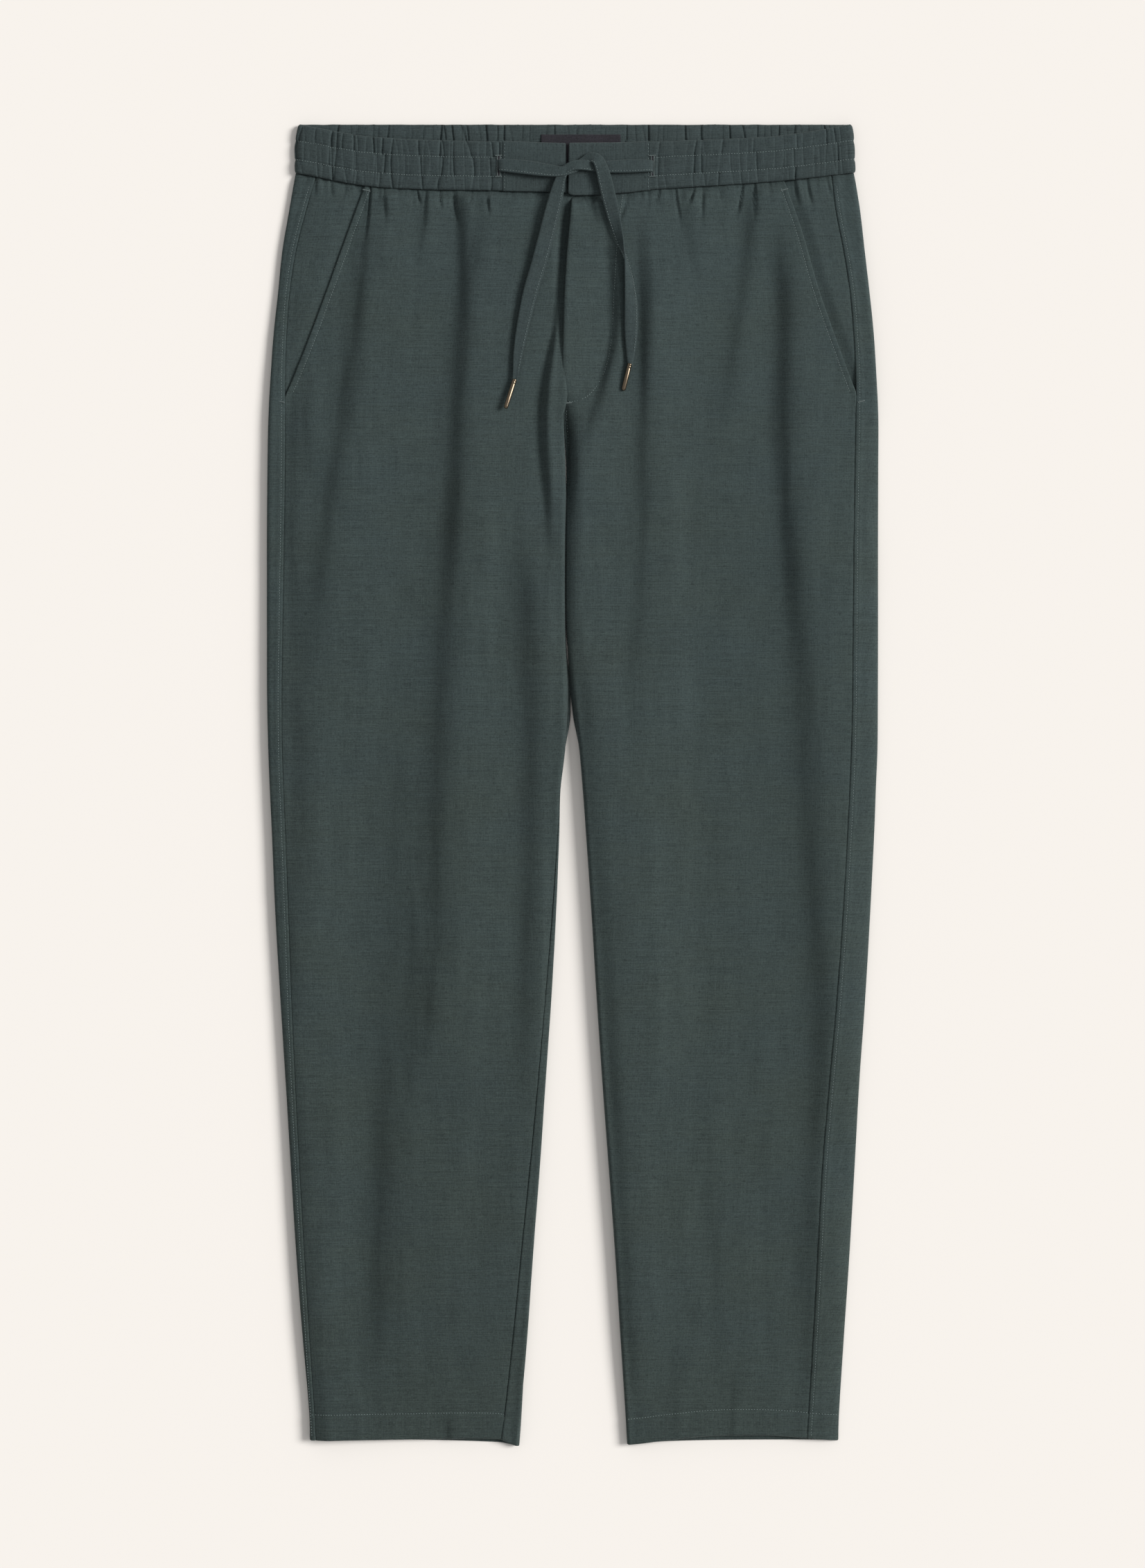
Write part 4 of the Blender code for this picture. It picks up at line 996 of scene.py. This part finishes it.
def flat_band_z(x, share, rise):
    """The outer face of the waistband's flat front ends."""
    near = smooth_step(1 - np.abs(x - BAND_OPENING) / OPENING_REACH)
    curl = CURL * smooth_step(1 - (BAND_OPENING - x) / CURL_REACH) * (x < BAND_OPENING)
    edge = np.minimum(share, 1 - share) * FLAT_BAND_HEIGHT
    soft = 0.25 * soft_noise(x, share, 24, 0.5, 61) + 0.12 * soft_noise(x, share, 9, 0.3, 62)
    seam = np.minimum(np.abs(x - BAND_SEAM_LEFT), np.abs(x - BAND_SEAM_RIGHT))
    return BAND_FACE + rise * near - curl + soft - 0.5 * bell(edge, 1.2) - 0.25 * bell(seam, 1.0)


def make_flat_band(side, start, end, rise, finish):
    low, between, high = np.linspace(0, 0.06, 4), np.linspace(0.06, 0.94, 22), np.linspace(0.94, 1, 4)
    shares = np.concatenate([low[:-1], between, high[1:]])
    x, share = np.meshgrid(steps((start, end, 0.7)), shares[::-1])
    to_opening = (x - start) / (end - start) - (0 if side == "left" else 1)
    x = x - BAND_PARTING * share * to_opening
    bottom, top = band_y(x, "bottom"), band_y(x, "top")
    y = bottom + (top - bottom) * share
    grid = np.stack([x, y, flat_band_z(x, share, rise)], axis=2)
    uv = np.stack([y, x], axis=2)
    return link_shell(f"waistband_cloth_{side}", grid, FLAT_BAND_THICK, finish, uv, False)


def make_label(finish):
    xs = np.linspace(LABEL_LEFT, LABEL_RIGHT, 60)
    ys = np.linspace(LABEL_TOP, LABEL_BOTTOM, 20)
    x, y = np.meshgrid(xs, ys)
    z = LABEL_FACE + 0.25 * np.sin(x / 6.5) + 0.2 * soft_noise(x, y, 17, 12, 71)
    grid = np.stack([x, y, z], axis=2)
    return link_shell("ribbon_label", grid, LABEL_THICK, finish, grid[..., :2], False)


# ---------------------------------------------------------------- drawstring


def top_face(x, y):
    """The highest cloth under a point of the middle of the front."""
    x, y = np.asarray(x, float), np.asarray(y, float)
    bottom, top = band_y(x, "bottom"), band_y(x, "top")
    share = (y - bottom) / (top - bottom)
    band = flat_band_z(x, np.clip(share, 0, 1), SEWN_RISE)
    left, right = map(Half, HALVES)
    _, z_left, _ = cloth_z(left, "front", left.place_of(x, y), y)
    _, z_right, _ = cloth_z(right, "front", right.place_of(x, y), y)
    panel = np.where(x > read(SECTIONS, y, "right_inner"), z_right, z_left)
    return np.where(share > 0, band, panel)


def bridge(heights, spacing, reach):
    """Heights that pass over hollows: the highest nearby, smoothed."""
    n = max(1, int(reach / spacing))
    padded = np.pad(heights, n, mode="edge")
    windows = np.stack([padded[k : k + len(heights)] for k in range(2 * n + 1)])
    highest = windows.max(axis=0)
    padded = np.pad(highest, n, mode="edge")
    weights = np.hanning(2 * n + 3)[1:-1]
    return np.convolve(padded, weights / weights.sum(), mode="valid")


def strand_frames(points):
    """Middle, sideways and upward directions, and width, along a strand of the tape."""
    x, y, width, lift, turn = through(points, np.linspace(0, len(points) - 1, STRAND_POINTS)).T
    run = np.stack([np.gradient(x), np.gradient(y)], axis=1)
    spacing = np.linalg.norm(run, axis=1)
    run /= spacing[:, None]
    side = np.stack([-run[:, 1], run[:, 0]], axis=1)
    offsets = np.array([-0.5, -0.25, 0.0, 0.25, 0.5])
    reach = width[:, None] * offsets * np.abs(np.cos(np.radians(turn)))[:, None]
    under = top_face(x[:, None] + reach * side[:, :1], y[:, None] + reach * side[:, 1:]).max(axis=1)
    z = bridge(under, spacing.mean(), 5.0) + lift + TAPE_RAISE * smooth_step(lift + 1) + TAPE_THICK / 2
    angle = np.radians(turn)[:, None]
    flat = np.concatenate([side, np.zeros((len(side), 1))], axis=1)
    up = np.array(UPWARDS)
    across = flat * np.cos(angle) + up * np.sin(angle)
    out = -flat * np.sin(angle) + up * np.cos(angle)
    return np.stack([x, y, z], axis=1), across, out, width


# The tape's section, once round: shares of its width and of its thickness.
TAPE_SECTION = (
    (-0.5, 0.0), (-0.47, 0.35), (-0.40, 0.5), (-0.2, 0.52), (0.0, 0.5), (0.2, 0.52), (0.40, 0.5),
    (0.47, 0.35), (0.5, 0.0), (0.47, -0.35), (0.40, -0.5), (0.2, -0.5), (0.0, -0.5), (-0.2, -0.5),
    (-0.40, -0.5), (-0.47, -0.35),
)


def make_strand(name, frames, finish):
    """A strand of flat tape: a closed strip with rounded sides, slightly crowned and rippled."""
    middle, across, out, width = frames
    wide, thick = np.array(TAPE_SECTION).T[:, None]
    along = lengths_along(middle)[:, None]
    ripple = TAPE_RIPPLE * soft_noise(along, wide, 7, 0.5, 81)
    curl = TAPE_CURL * wide**2 * (1 - width[:, None] / TAPE_WIDE)
    aside = wide * width[:, None]
    rise = thick * TAPE_THICK + ripple + curl
    grid = middle[:, None] + across[:, None] * aside[..., None] + out[:, None] * rise[..., None]
    around = np.arange(1, len(TAPE_SECTION) + 1) * TAPE_UV_STEP
    uv = np.stack(np.broadcast_arrays(around[None, :], along), axis=2)
    return link_tube(name, grid, finish, uv, False)


def make_tip(tip, heights, finish):
    """A crimped metal tube, pressed in near the tape and rounded at the far end."""
    start = np.array([tip.x1, tip.y1, heights[0]])
    end = np.array([tip.x2, tip.y2, heights[1]])
    length = np.linalg.norm(end - start)
    run = (end - start) / length
    side = np.cross(run, UPWARDS)
    side /= np.linalg.norm(side)
    up = np.cross(side, run)
    # Rings: how far along the tube, and the share of its full radius.
    profile = (
        (1.2, 0.6), (0.0, 0.80), (0.25, 0.96), (0.7, 1.0), (1.4, 1.0), (1.7, 0.94), (2.1, 0.94), (2.4, 1.0),
        (3.4, 1.0), (3.7, 0.94), (4.1, 0.94), (4.4, 1.0), (length - 2.2, 0.97),
        (length - 1.2, 0.9), (length - 0.5, 0.72), (length - 0.12, 0.42), (length, 0.1),
    )
    angle = np.linspace(0, 2 * math.pi, TIP_SIDES, endpoint=False)[:, None]
    circle = np.cos(angle) * side + np.sin(angle) * up
    grid = np.stack([start + run * along + circle * radius * TIP_RADIUS for along, radius in profile])
    return link_tube(f"tip_tube_{tip.name}", grid, finish, np.zeros((*grid.shape[:2], 2)), True)


# ---------------------------------------------------------------- stitches


def stitch_template():
    """A stitch of length 1 and width 1: rings of five points, thick in the middle, sunk at the ends."""
    # Each ring: its place along the stitch, its thickness and its height.
    rings = ((-0.5, 0.30, -0.35), (-0.3, 0.92, 0.18), (0.0, 1.0, 0.3), (0.3, 0.92, 0.18), (0.5, 0.30, -0.35))
    angles = np.radians([10, 82, 154, 226, 298])
    points = []
    for along, size, rise in rings:
        for angle in angles:
            points.append((along, 0.5 * size * math.cos(angle), rise + 0.5 * size * math.sin(angle)))
    quads = []
    for r in range(len(rings) - 1):
        for n in range(5):
            m = (n + 1) % 5
            quads.append((5 * r + n, 5 * r + m, 5 * r + 5 + m, 5 * r + 5 + n))
    ends = [(0, 2, 1), (0, 3, 2), (0, 4, 3)]
    last = 5 * (len(rings) - 1)
    ends += [(last + a, last + c, last + b) for a, b, c in ends]
    return np.array(points), np.array(quads), np.array(ends)


class Stitches:
    """Collects stitches and links them as one mesh."""

    def __init__(self, name):
        self.name = name
        self.random = np.random.default_rng(len(name) * 7 + 5)
        self.centres, self.runs, self.ups, self.sizes = [], [], [], []

    def row(self, path, ups, pitch=STITCH_PITCH, length=STITCH_LENGTH, width=STITCH_WIDTH):
        """Stitches along a path of close points in millimetres, lying square to ups."""
        path = np.asarray(path, float)
        along = lengths_along(path)
        count = max(1, int(along[-1] / pitch))
        at = (np.arange(count) + 0.5) * along[-1] / count + self.random.uniform(-0.08, 0.08, count)
        ends = [
            np.stack([np.interp(at + shift, along, path[:, k]) for k in range(3)], axis=1)
            for shift in (-length / 2, length / 2)
        ]
        centre = (ends[0] + ends[1]) / 2
        run = ends[1] - ends[0]
        ups = np.broadcast_to(ups, path.shape)
        up = np.stack([np.interp(at, along, ups[:, k]) for k in range(3)], axis=1)
        self.add(centre, run, up, np.array([length, width]) * self.random.uniform(0.93, 1.07, (count, 1)))

    def add(self, centres, run, up, size):
        """Stitches at these centres. Their runs, ups and (length, width) may be one for all."""
        self.centres.append(centres)
        self.runs.append(np.broadcast_to(run, centres.shape))
        self.ups.append(np.broadcast_to(up, centres.shape))
        self.sizes.append(np.broadcast_to(size, (len(centres), 2)))

    def link(self, finish):
        points, quads, ends = stitch_template()
        centre, run, up, size = (np.concatenate(v) for v in (self.centres, self.runs, self.ups, self.sizes))
        run = run / np.linalg.norm(run, axis=1, keepdims=True)
        side = np.cross(up, run)
        side /= np.linalg.norm(side, axis=1, keepdims=True)
        up = np.cross(run, side)
        body = (
            centre[:, None]
            + run[:, None] * (points[None, :, 0] * size[:, :1])[..., None]
            + side[:, None] * (points[None, :, 1] * size[:, 1:])[..., None]
            + up[:, None] * (points[None, :, 2] * size[:, 1:])[..., None]
        )
        first = (np.arange(len(centre)) * len(points))[:, None, None]
        all_quads = (quads[None] + first).reshape(-1, 4)
        all_ends = (ends[None] + first).reshape(-1, 3)
        uv = np.broadcast_to(points[None, :, :2], (len(centre), len(points), 2))
        return link_mesh(self.name, body, all_quads, finish, uv, triangles=all_ends)


def surface_path(half, kind, xs, ys):
    """Points and normals of a panel's outer face along a path on the upper side."""
    ys = np.asarray(ys, float)
    place = half.place_of(np.asarray(xs, float), ys)

    def at(place, y):
        x, z, _ = cloth_z(half, kind, place, y)
        return np.stack([x, y, z], axis=1)

    here = at(place, ys)
    across = at(place + 0.5, ys) - at(place - 0.5, ys)
    along = at(place, ys + 0.5) - at(place, ys - 0.5)
    up = np.cross(across, along) * half.sign * -1
    return here, up / np.linalg.norm(up, axis=1, keepdims=True)


def dense(points, step=0.8):
    """Close points along a smooth curve through a short list of (x, y)."""
    points = np.asarray(points, float)
    rough = through(points, np.linspace(0, len(points) - 1, 40 * len(points)))
    along = lengths_along(rough)
    at = np.linspace(0, along[-1], max(3, int(along[-1] / step)))
    return np.stack([np.interp(at, along, rough[:, k]) for k in range(points.shape[1])], axis=1)


def bar_tack(stitches, centre, run, up, length, width):
    """A dense bar: short stitches side by side across it."""
    run = np.asarray(run, float) / np.linalg.norm(run)
    up = np.asarray(up, float) / np.linalg.norm(up)
    across = np.cross(up, run)
    count = max(2, round(length / TACK_PITCH))
    at = (np.arange(count) - (count - 1) / 2) * TACK_PITCH
    centres = np.asarray(centre, float) + at[:, None] * run + 0.12 * up
    stitches.add(centres, across + 0.15 * run, up, (width, 0.5))


def sew_panels(finish, tack_finish):
    sides = Stitches("stitches_side_seams")
    hems = Stitches("stitches_hems")
    pockets = Stitches("stitches_pockets")
    tacks = Stitches("stitches_tacks")
    for half in map(Half, HALVES):
        ys = np.arange(*SEAM_ROW)
        xs = read(SECTIONS, ys, half.name + "_seam") + half.sign * SEAM_TO_STITCH
        sides.row(*surface_path(half, "back", xs, ys))
        outer, inner = half.edges(np.array([-509.0]))
        xs = np.arange(min(outer[0], inner[0]) + 1.5, max(outer[0], inner[0]) - 1.0, 0.9)
        ys = read(HEMS, xs, "front") + HEM_STITCH
        seam = read(SECTIONS, ys, half.name + "_seam")
        on_front = half.sign * (seam - xs) > 0
        hems.row(*surface_path(half, "front", xs[on_front], ys[on_front]))
        hems.row(*surface_path(half, "back", xs[~on_front], ys[~on_front]))
        ys = np.arange(*MOUTH_ROW)
        xs = half.mouth_x(ys) - half.sign * MOUTH_TO_STITCH
        pockets.row(*surface_path(half, "front", xs, ys))
        for tack in POCKET_TACKS:
            x = half.mouth_x(np.array([tack.y])) - half.sign * tack.inset
            here, up = surface_path(half, "front", x, [tack.y])
            bar_tack(tacks, here[0], (half.sign * 1.0, 0.25, 0.0), up[0], tack.length, 1.3)
    fly = Stitches("stitches_fly")
    right = Half(HALVES[1])
    path = dense(FLY_STITCH)
    fly.row(*surface_path(right, "front", path[:, 0], path[:, 1]))
    here, up = surface_path(right, "front", FLY_TACK[:1], FLY_TACK[1:])
    bar_tack(tacks, here[0], (1.0, 0.12, 0.0), up[0], 6.5, 1.5)
    ys = np.arange(*BELOW_FLY_ROW)
    xs = read(SECTIONS, ys, "right_inner") + 2.6
    fly.row(*surface_path(right, "front", xs, ys), width=0.36)
    tacks.link(tack_finish)
    for group in (sides, hems, pockets, fly):
        group.link(finish)


def sew_band(finish, hole_finish):
    rows = Stitches("stitches_waistband")
    s, x, roll = band_along()
    from_seam = np.minimum(s, s[-1] - s)
    for side in (1, -1):
        for share in (CHANNEL_LOW, CHANNEL_HIGH)[:1 if side < 0 else 2]:
            sway = share + 0.006 * soft_noise(s, 0 * s, 5, 1, 38)
            path = band_face(s, x, roll, sway, side, from_seam)
            up = np.stack([0 * s, 0 * s, side * np.sin(np.radians(roll))], axis=1)
            up[:, 0] = side * np.where(x < BAND_MIDDLE, -1, 1) * np.cos(np.radians(roll))
            rows.row(path + 0.12 * up, up)
    for seam, aside in ((BAND_SEAM_LEFT, BAND_END_STITCH), (BAND_SEAM_RIGHT, -BAND_END_STITCH)):
        shares = np.linspace(0.03, 0.97, 50)
        xs = np.full_like(shares, seam + aside)
        bottom, top = band_y(xs, "bottom"), band_y(xs, "top")
        path = np.stack([xs, bottom + (top - bottom) * shares, flat_band_z(xs, shares, SEWN_RISE)], axis=1)
        rows.row(path, UPWARDS, pitch=2.8, length=1.3, width=0.4)
    xs = np.arange(*BAND_FOOT_ROW)
    ys = band_y(xs, "bottom") + 1.4
    path = np.stack([xs, ys, flat_band_z(xs, np.full_like(xs, 0.035), SEWN_RISE)], axis=1)
    rows.row(path, UPWARDS)
    holes = Stitches("stitches_buttonholes")
    for x0, y0 in BUTTONHOLES:
        ys = np.arange(y0 - BUTTONHOLE_HALF, y0 + BUTTONHOLE_HALF, TACK_PITCH)
        for aside in (-BUTTONHOLE_SIDE, BUTTONHOLE_SIDE):
            centres = np.stack([np.full_like(ys, x0 + aside), ys, np.full_like(ys, BAND_FACE + 0.18)], axis=1)
            holes.add(centres, (1.0, 0.12, 0.0), UPWARDS, (1.0, 0.46))
        for end in (-BUTTONHOLE_HALF - 0.6, BUTTONHOLE_HALF + 0.6):
            bar_tack(holes, (x0, y0 + end, BAND_FACE + 0.5), (1, 0.05, 0), UPWARDS, 5.4, 0.9)
    rows.link(finish)
    holes.link(hole_finish)


def make_slit_shade(name, x0, y0, finish):
    """Painted shade for a buttonhole's opening: a thin dark closed lens between its two edges of thread."""
    t = np.linspace(-1, 1, 30)
    width = SLIT_SIDE * np.sqrt(np.clip(1 - t**2, 0.02, 1))
    ys = y0 + t * BUTTONHOLE_HALF
    xs = x0 + width[:, None] * np.array([-1.0, -0.5, 0.0, 0.5, 1.0])
    z = np.broadcast_to(BAND_FACE + SLIT_FACE - 0.1 * np.array([0.0, 1.0, 1.4, 1.0, 0.0]), xs.shape)
    grid = np.stack([xs, np.broadcast_to(ys[:, None], xs.shape), z], axis=2)
    return link_shell(name, grid, SLIT_THICK, finish, grid[..., :2], True)


def sew_tape(name, frames, side, finish):
    """The row of stitches beside one edge of the tape, on both faces."""
    middle, across, out, width = frames
    row = Stitches(name)
    for face in (1, -1):
        path = middle + across * (side * TAPE_STITCH * width)[:, None] + out * (face * TAPE_THICK * 0.54)
        row.row(path[6:-14], (out * face)[6:-14], pitch=2.3, length=1.5, width=0.4)
    return row.link(finish)


# ---------------------------------------------------------------- materials


def feed(tree, made, values):
    """Sets a node's sockets by name or number. A value that is a socket itself is wired in."""
    for label, value in values.items():
        if isinstance(value, bpy.types.NodeSocket):
            tree.links.new(value, made.inputs[label])
        else:
            made.inputs[label].default_value = value


def node(tree, kind, values=None, **settings):
    made = tree.nodes.new(kind)
    for key, value in settings.items():
        setattr(made, key, value)
    feed(tree, made, values or {})
    return made


def maths(tree, operation, a, b, clamp=False):
    return node(tree, "ShaderNodeMath", {0: a, 1: b}, operation=operation, use_clamp=clamp).outputs[0]


def total(tree, *terms):
    added = terms[0]
    for term in terms[1:]:
        added = maths(tree, "ADD", added, term)
    return added


def mixed(tree, factor, a, b, blend="MIX"):
    colours = {"Factor": factor, "A": a, "B": b}
    return node(tree, "ShaderNodeMix", colours, data_type="RGBA", blend_type=blend).outputs["Result"]


def shaded(colour, share=1.0):
    return (*(share * c for c in colour), 1.0)


def object_place(tree):
    return node(tree, "ShaderNodeTexCoord").outputs["Object"]


def stretched_noise(tree, vector, cells, detail):
    """Noise from 0 to 1, with this many cells to a metre in each direction."""
    placed = node(tree, "ShaderNodeMapping", {"Vector": vector, "Scale": cells}).outputs["Vector"]
    values = {"Vector": placed, "Scale": 1.0, "Detail": detail, "Roughness": 0.55}
    return node(tree, "ShaderNodeTexNoise", values).outputs["Fac"]


def new_group(name, inputs, outputs):
    """A node group with named sockets: inputs are (name, kind, default) and outputs (name, kind)."""
    tree = bpy.data.node_groups.new(name, "ShaderNodeTree")
    for label, kind, default in inputs:
        socket = tree.interface.new_socket(label, in_out="INPUT", socket_type=kind)
        if default is not None:
            socket.default_value = default
    for label, kind in outputs:
        tree.interface.new_socket(label, in_out="OUTPUT", socket_type=kind)
    return tree, tree.nodes.new("NodeGroupInput"), tree.nodes.new("NodeGroupOutput")


def linen_group():
    """Plain-woven linen: threads both ways, uneven in thickness, with slubs and soft mottling."""
    number = "NodeSocketFloat"
    tree, start, end = new_group(
        "linen_weave",
        [("Vector", "NodeSocketVector", None), ("Slubs", number, 1.0), ("Mottling", number, 1.0)],
        [("Shade", number), ("Hue", number), ("Height", number)],
    )
    vector = start.outputs["Vector"]

    def uneven(across, along, detail, size):
        """Noise about 0, with this many cells to a metre across and along the cloth."""
        noise = stretched_noise(tree, vector, (across, along, 1), detail)
        return maths(tree, "MULTIPLY", maths(tree, "SUBTRACT", noise, 0.5), size)

    warp = total(tree, uneven(1650, 150, 2, 0.95), uneven(1300, 22, 1, 0.55))
    weft = total(tree, uneven(100, 1750, 2, 1.3), uneven(20, 1350, 1, 0.95))
    fine = total(tree, uneven(3200, 500, 1, 1.0), uneven(450, 3300, 1, 1.0))
    threads = total(tree, warp, weft)
    specks = maths(tree, "SUBTRACT", stretched_noise(tree, vector, (260, 620, 1), 1), SPECK_SHARE, clamp=True)
    slubs = total(tree, threads, maths(tree, "MULTIPLY", specks, -SPECK_DARKNESS))
    slubs = maths(tree, "MULTIPLY", slubs, start.outputs["Slubs"])
    mottled = maths(tree, "MULTIPLY", uneven(60, 22, 3, 1.0), start.outputs["Mottling"])
    shade = total(tree, slubs, mottled, maths(tree, "MULTIPLY", fine, 1.3))
    hue = total(tree, uneven(34, 300, 2, 0.9), uneven(9, 15, 2, 1.8))
    values = {"Vector": vector, "Scale": WEAVE_SCALE, "Distortion": 1.4, "Detail": 1.0, "Detail Scale": 0.4}
    waves = [node(tree, "ShaderNodeTexWave", values, bands_direction=axis).outputs["Fac"] for axis in "XY"]
    rough = maths(tree, "MULTIPLY", total(tree, fine, threads), 1.1)
    outputs = {
        "Shade": maths(tree, "ADD", shade, 0.5, clamp=True),
        "Hue": maths(tree, "ADD", hue, 0.5, clamp=True),
        "Height": total(tree, maths(tree, "MULTIPLY", *waves), rough),
    }
    feed(tree, end, outputs)
    return tree


def new_material(name, values):
    made = bpy.data.materials.new(name)
    made.use_nodes = True
    shader = made.node_tree.nodes["Principled BSDF"]
    feed(made.node_tree, shader, values)
    return made, made.node_tree, shader


def cloth_material(name, group, dark, light, warm, slubs=1.0):
    """A cloth of this weave, with painted light: a little lighter towards +X and +Y. It is also cooler
    towards +Y.
    """
    dry = {"Roughness": 0.88, "Specular IOR Level": 0.22}
    sheen = {"Sheen Weight": 0.12, "Sheen Roughness": 0.45, "Sheen Tint": (0.75, 0.86, 0.84, 1.0)}
    made, tree, shader = new_material(name, dry | sheen)
    place = node(tree, "ShaderNodeUVMap", uv_map="cloth").outputs["UV"]
    values = {"Vector": place, "Slubs": slubs, "Mottling": MOTTLING}
    weave = node(tree, "ShaderNodeGroup", values, node_tree=group).outputs
    where = node(tree, "ShaderNodeSeparateXYZ", {0: object_place(tree)}).outputs
    # painted light: lighter towards +X and +Y
    lighter = total(
        tree,
        maths(tree, "MULTIPLY", where["X"], PAINTED_LIGHT_ACROSS),
        maths(tree, "MULTIPLY", where["Y"], PAINTED_LIGHT_ALONG),
    )
    tone = maths(tree, "ADD", weave["Shade"], lighter, clamp=True)
    tone = mixed(tree, tone, shaded(dark), shaded(light))
    warmer = maths(tree, "MULTIPLY", where["Y"], -COOLER_ALONG)
    warmer = maths(tree, "ADD", weave["Hue"], warmer, clamp=True)
    values = {"Height": weave["Height"], "Strength": 0.5, "Distance": BUMP_DEPTH}
    relief = node(tree, "ShaderNodeBump", values).outputs["Normal"]
    tone = mixed(tree, warmer, tone, shaded(warm), "MULTIPLY")
    feed(tree, shader, {"Base Color": tone, "Normal": relief})
    return made


def thread_material(name, colour):
    """Twisted thread, with painted shade between its plies."""
    made, tree, shader = new_material(name, {"Roughness": 0.6, "Sheen Weight": 0.2})
    values = {"Vector": object_place(tree), "Scale": 1100.0}
    # painted shade in the grooves between the plies
    ply_shade = node(tree, "ShaderNodeTexWave", values, bands_direction="DIAGONAL").outputs["Fac"]
    feed(tree, shader, {"Base Color": mixed(tree, ply_shade, shaded(colour, 0.8), shaded(colour, 1.15))})
    return made


def metal_material(name, colour):
    """Dark polished plating with faint scuffs."""
    made, tree, shader = new_material(name, {"Metallic": 1.0})
    scuffs = stretched_noise(tree, object_place(tree), (700, 160, 700), 3)
    tone = mixed(tree, scuffs, shaded(colour, 0.78), shaded(colour, 1.1))
    rough = maths(tree, "ADD", maths(tree, "MULTIPLY", scuffs, 0.1), 0.26)
    feed(tree, shader, {"Base Color": tone, "Roughness": rough})
    return made


# ---------------------------------------------------------------- the set


def make_camera():
    data = bpy.data.cameras.new("camera")
    data.sensor_width = SENSOR
    data.lens = SENSOR * (CAMERA_HEIGHT - LAY_BASE) / (PHOTO_HIGH * PIXEL)
    data.clip_end = 50
    camera = bpy.data.objects.new("camera", data)
    camera.location = (CAMERA_X * MM, CAMERA_Y * MM, CAMERA_HEIGHT * MM)
    bpy.context.scene.collection.objects.link(camera)
    bpy.context.scene.camera = camera


def make_key_light():
    """A far soft light. Its azimuth is the side it comes from, anticlockwise from +X."""
    data = bpy.data.lights.new("key_light", "SUN")
    data.energy = KEY_STRENGTH
    data.color = (1.0, 0.995, 0.985)
    data.angle = math.radians(KEY_SOFTNESS)
    made = bpy.data.objects.new("key_light", data)
    made.rotation_euler = (0, math.radians(90 - KEY_ELEVATION), math.radians(KEY_AZIMUTH))
    bpy.context.scene.collection.objects.link(made)


def make_set():
    mesh = bpy.data.meshes.new("floor")
    sides = ((-1, -1), (1, -1), (1, 1), (-1, 1))
    mesh.from_pydata([(x * FLOOR_HALF, y * FLOOR_HALF, FLOOR_Z * MM) for x, y in sides], [], [(0, 1, 2, 3)])
    paper = {"Base Color": (0.862, 0.822, 0.777, 1.0), "Roughness": 1.0, "Specular IOR Level": 0.0}
    mesh.materials.append(new_material("pale_floor", paper)[0])
    floor = bpy.data.objects.new("floor", mesh)
    bpy.context.scene.collection.objects.link(floor)
    make_key_light()
    world = bpy.data.worlds.new("soft_room")
    world.use_nodes = True
    room = {"Color": (0.985, 0.99, 1.0, 1.0), "Strength": ROOM_STRENGTH}
    feed(world.node_tree, world.node_tree.nodes["Background"], room)
    bpy.context.scene.world = world
    bpy.context.scene.view_settings.view_transform = "Standard"


# ---------------------------------------------------------------- making it all


make_camera()
make_set()

linen = linen_group()
cloth = cloth_material(
    "linen_cloth", linen, (0.0216, 0.0317, 0.0321), (0.0465, 0.0667, 0.0666), (1.02, 0.98, 0.90)
)
# The waistband's linen is a darker copy of the cloth: painted shade for the shade among its gathers.
band_cloth_painted_shade = cloth_material(
    "linen_waistband_painted_shade", linen, (0.0202, 0.0289, 0.0298), (0.0432, 0.0607, 0.0615), (1.0, 0.97, 0.93)
)
tape_cloth = cloth_material(
    "linen_tape", linen, (0.0205, 0.030, 0.031), (0.043, 0.061, 0.062), (1.0, 0.97, 0.93), slubs=0.8
)
# The dark ribbon is the label's own colour. The same material is also the painted shade in the buttonholes.
ribbon_and_slit_shade = cloth_material(
    "ribbon_cloth_and_slit_shade", linen, (0.010, 0.010, 0.012), (0.030, 0.028, 0.034), (1.0, 0.97, 1.0), slubs=0.5
)
thread = thread_material("sewing_thread", (0.125, 0.163, 0.160))
tack_thread = thread_material("tack_thread", (0.085, 0.112, 0.110))
metal = metal_material("bronze_tip", (0.185, 0.145, 0.102))

# Each strand crosses over and ends in the other side's metal tip.
for name, points, stitched, tip in (("left", STRAND_LEFT, -1, TIPS[0]), ("right", STRAND_RIGHT, 1, TIPS[1])):
    frames = strand_frames(points)
    middle = frames[0]
    tape = make_strand(f"tape_{name}", frames, tape_cloth)
    sewn = sew_tape(f"stitches_tape_{name}", frames, stitched, thread)
    heights = (middle[-1, 2], float(top_face([tip.x2], [tip.y2])[0]) + TIP_RADIUS + tip.raised)
    end_tube = make_tip(tip, heights, metal)
    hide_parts(f"drawstring_{name}")
    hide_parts(f"tip_{tip.name}")

FRONT_CUT, BACK_CUT, FACING_CUT = CUTS
for half in map(Half, HALVES):
    front = make_front(half, cloth)
    back = make_back(half, cloth)
    facing = make_facing(half, cloth)
    for piece, cut, node_name, under in (
        (front, FRONT_CUT, f"front_{half.name}", [back]),
        (back, BACK_CUT, f"back_{half.name}", ["floor"]),
        (facing, FACING_CUT, f"pocket_facing_{half.name}", [back]),
    ):
        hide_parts(node_name)

band = make_gathered_band(band_cloth_painted_shade)
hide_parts("waistband_elastic")
for side, start, end, rise in FLAT_BANDS:
    piece = make_flat_band(side, start, end, rise, band_cloth_painted_shade)
    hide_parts(f"waistband_front_{side}")
label = make_label(ribbon_and_slit_shade)
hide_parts("label")

sew_panels(thread, tack_thread)
sew_band(thread, tack_thread)
# Each buttonhole's opening is a dark lens of painted shade.
for side, (x0, y0) in zip(("left", "right"), BUTTONHOLES):
    make_slit_shade(f"buttonhole_slit_{side}", x0, y0, ribbon_and_slit_shade)
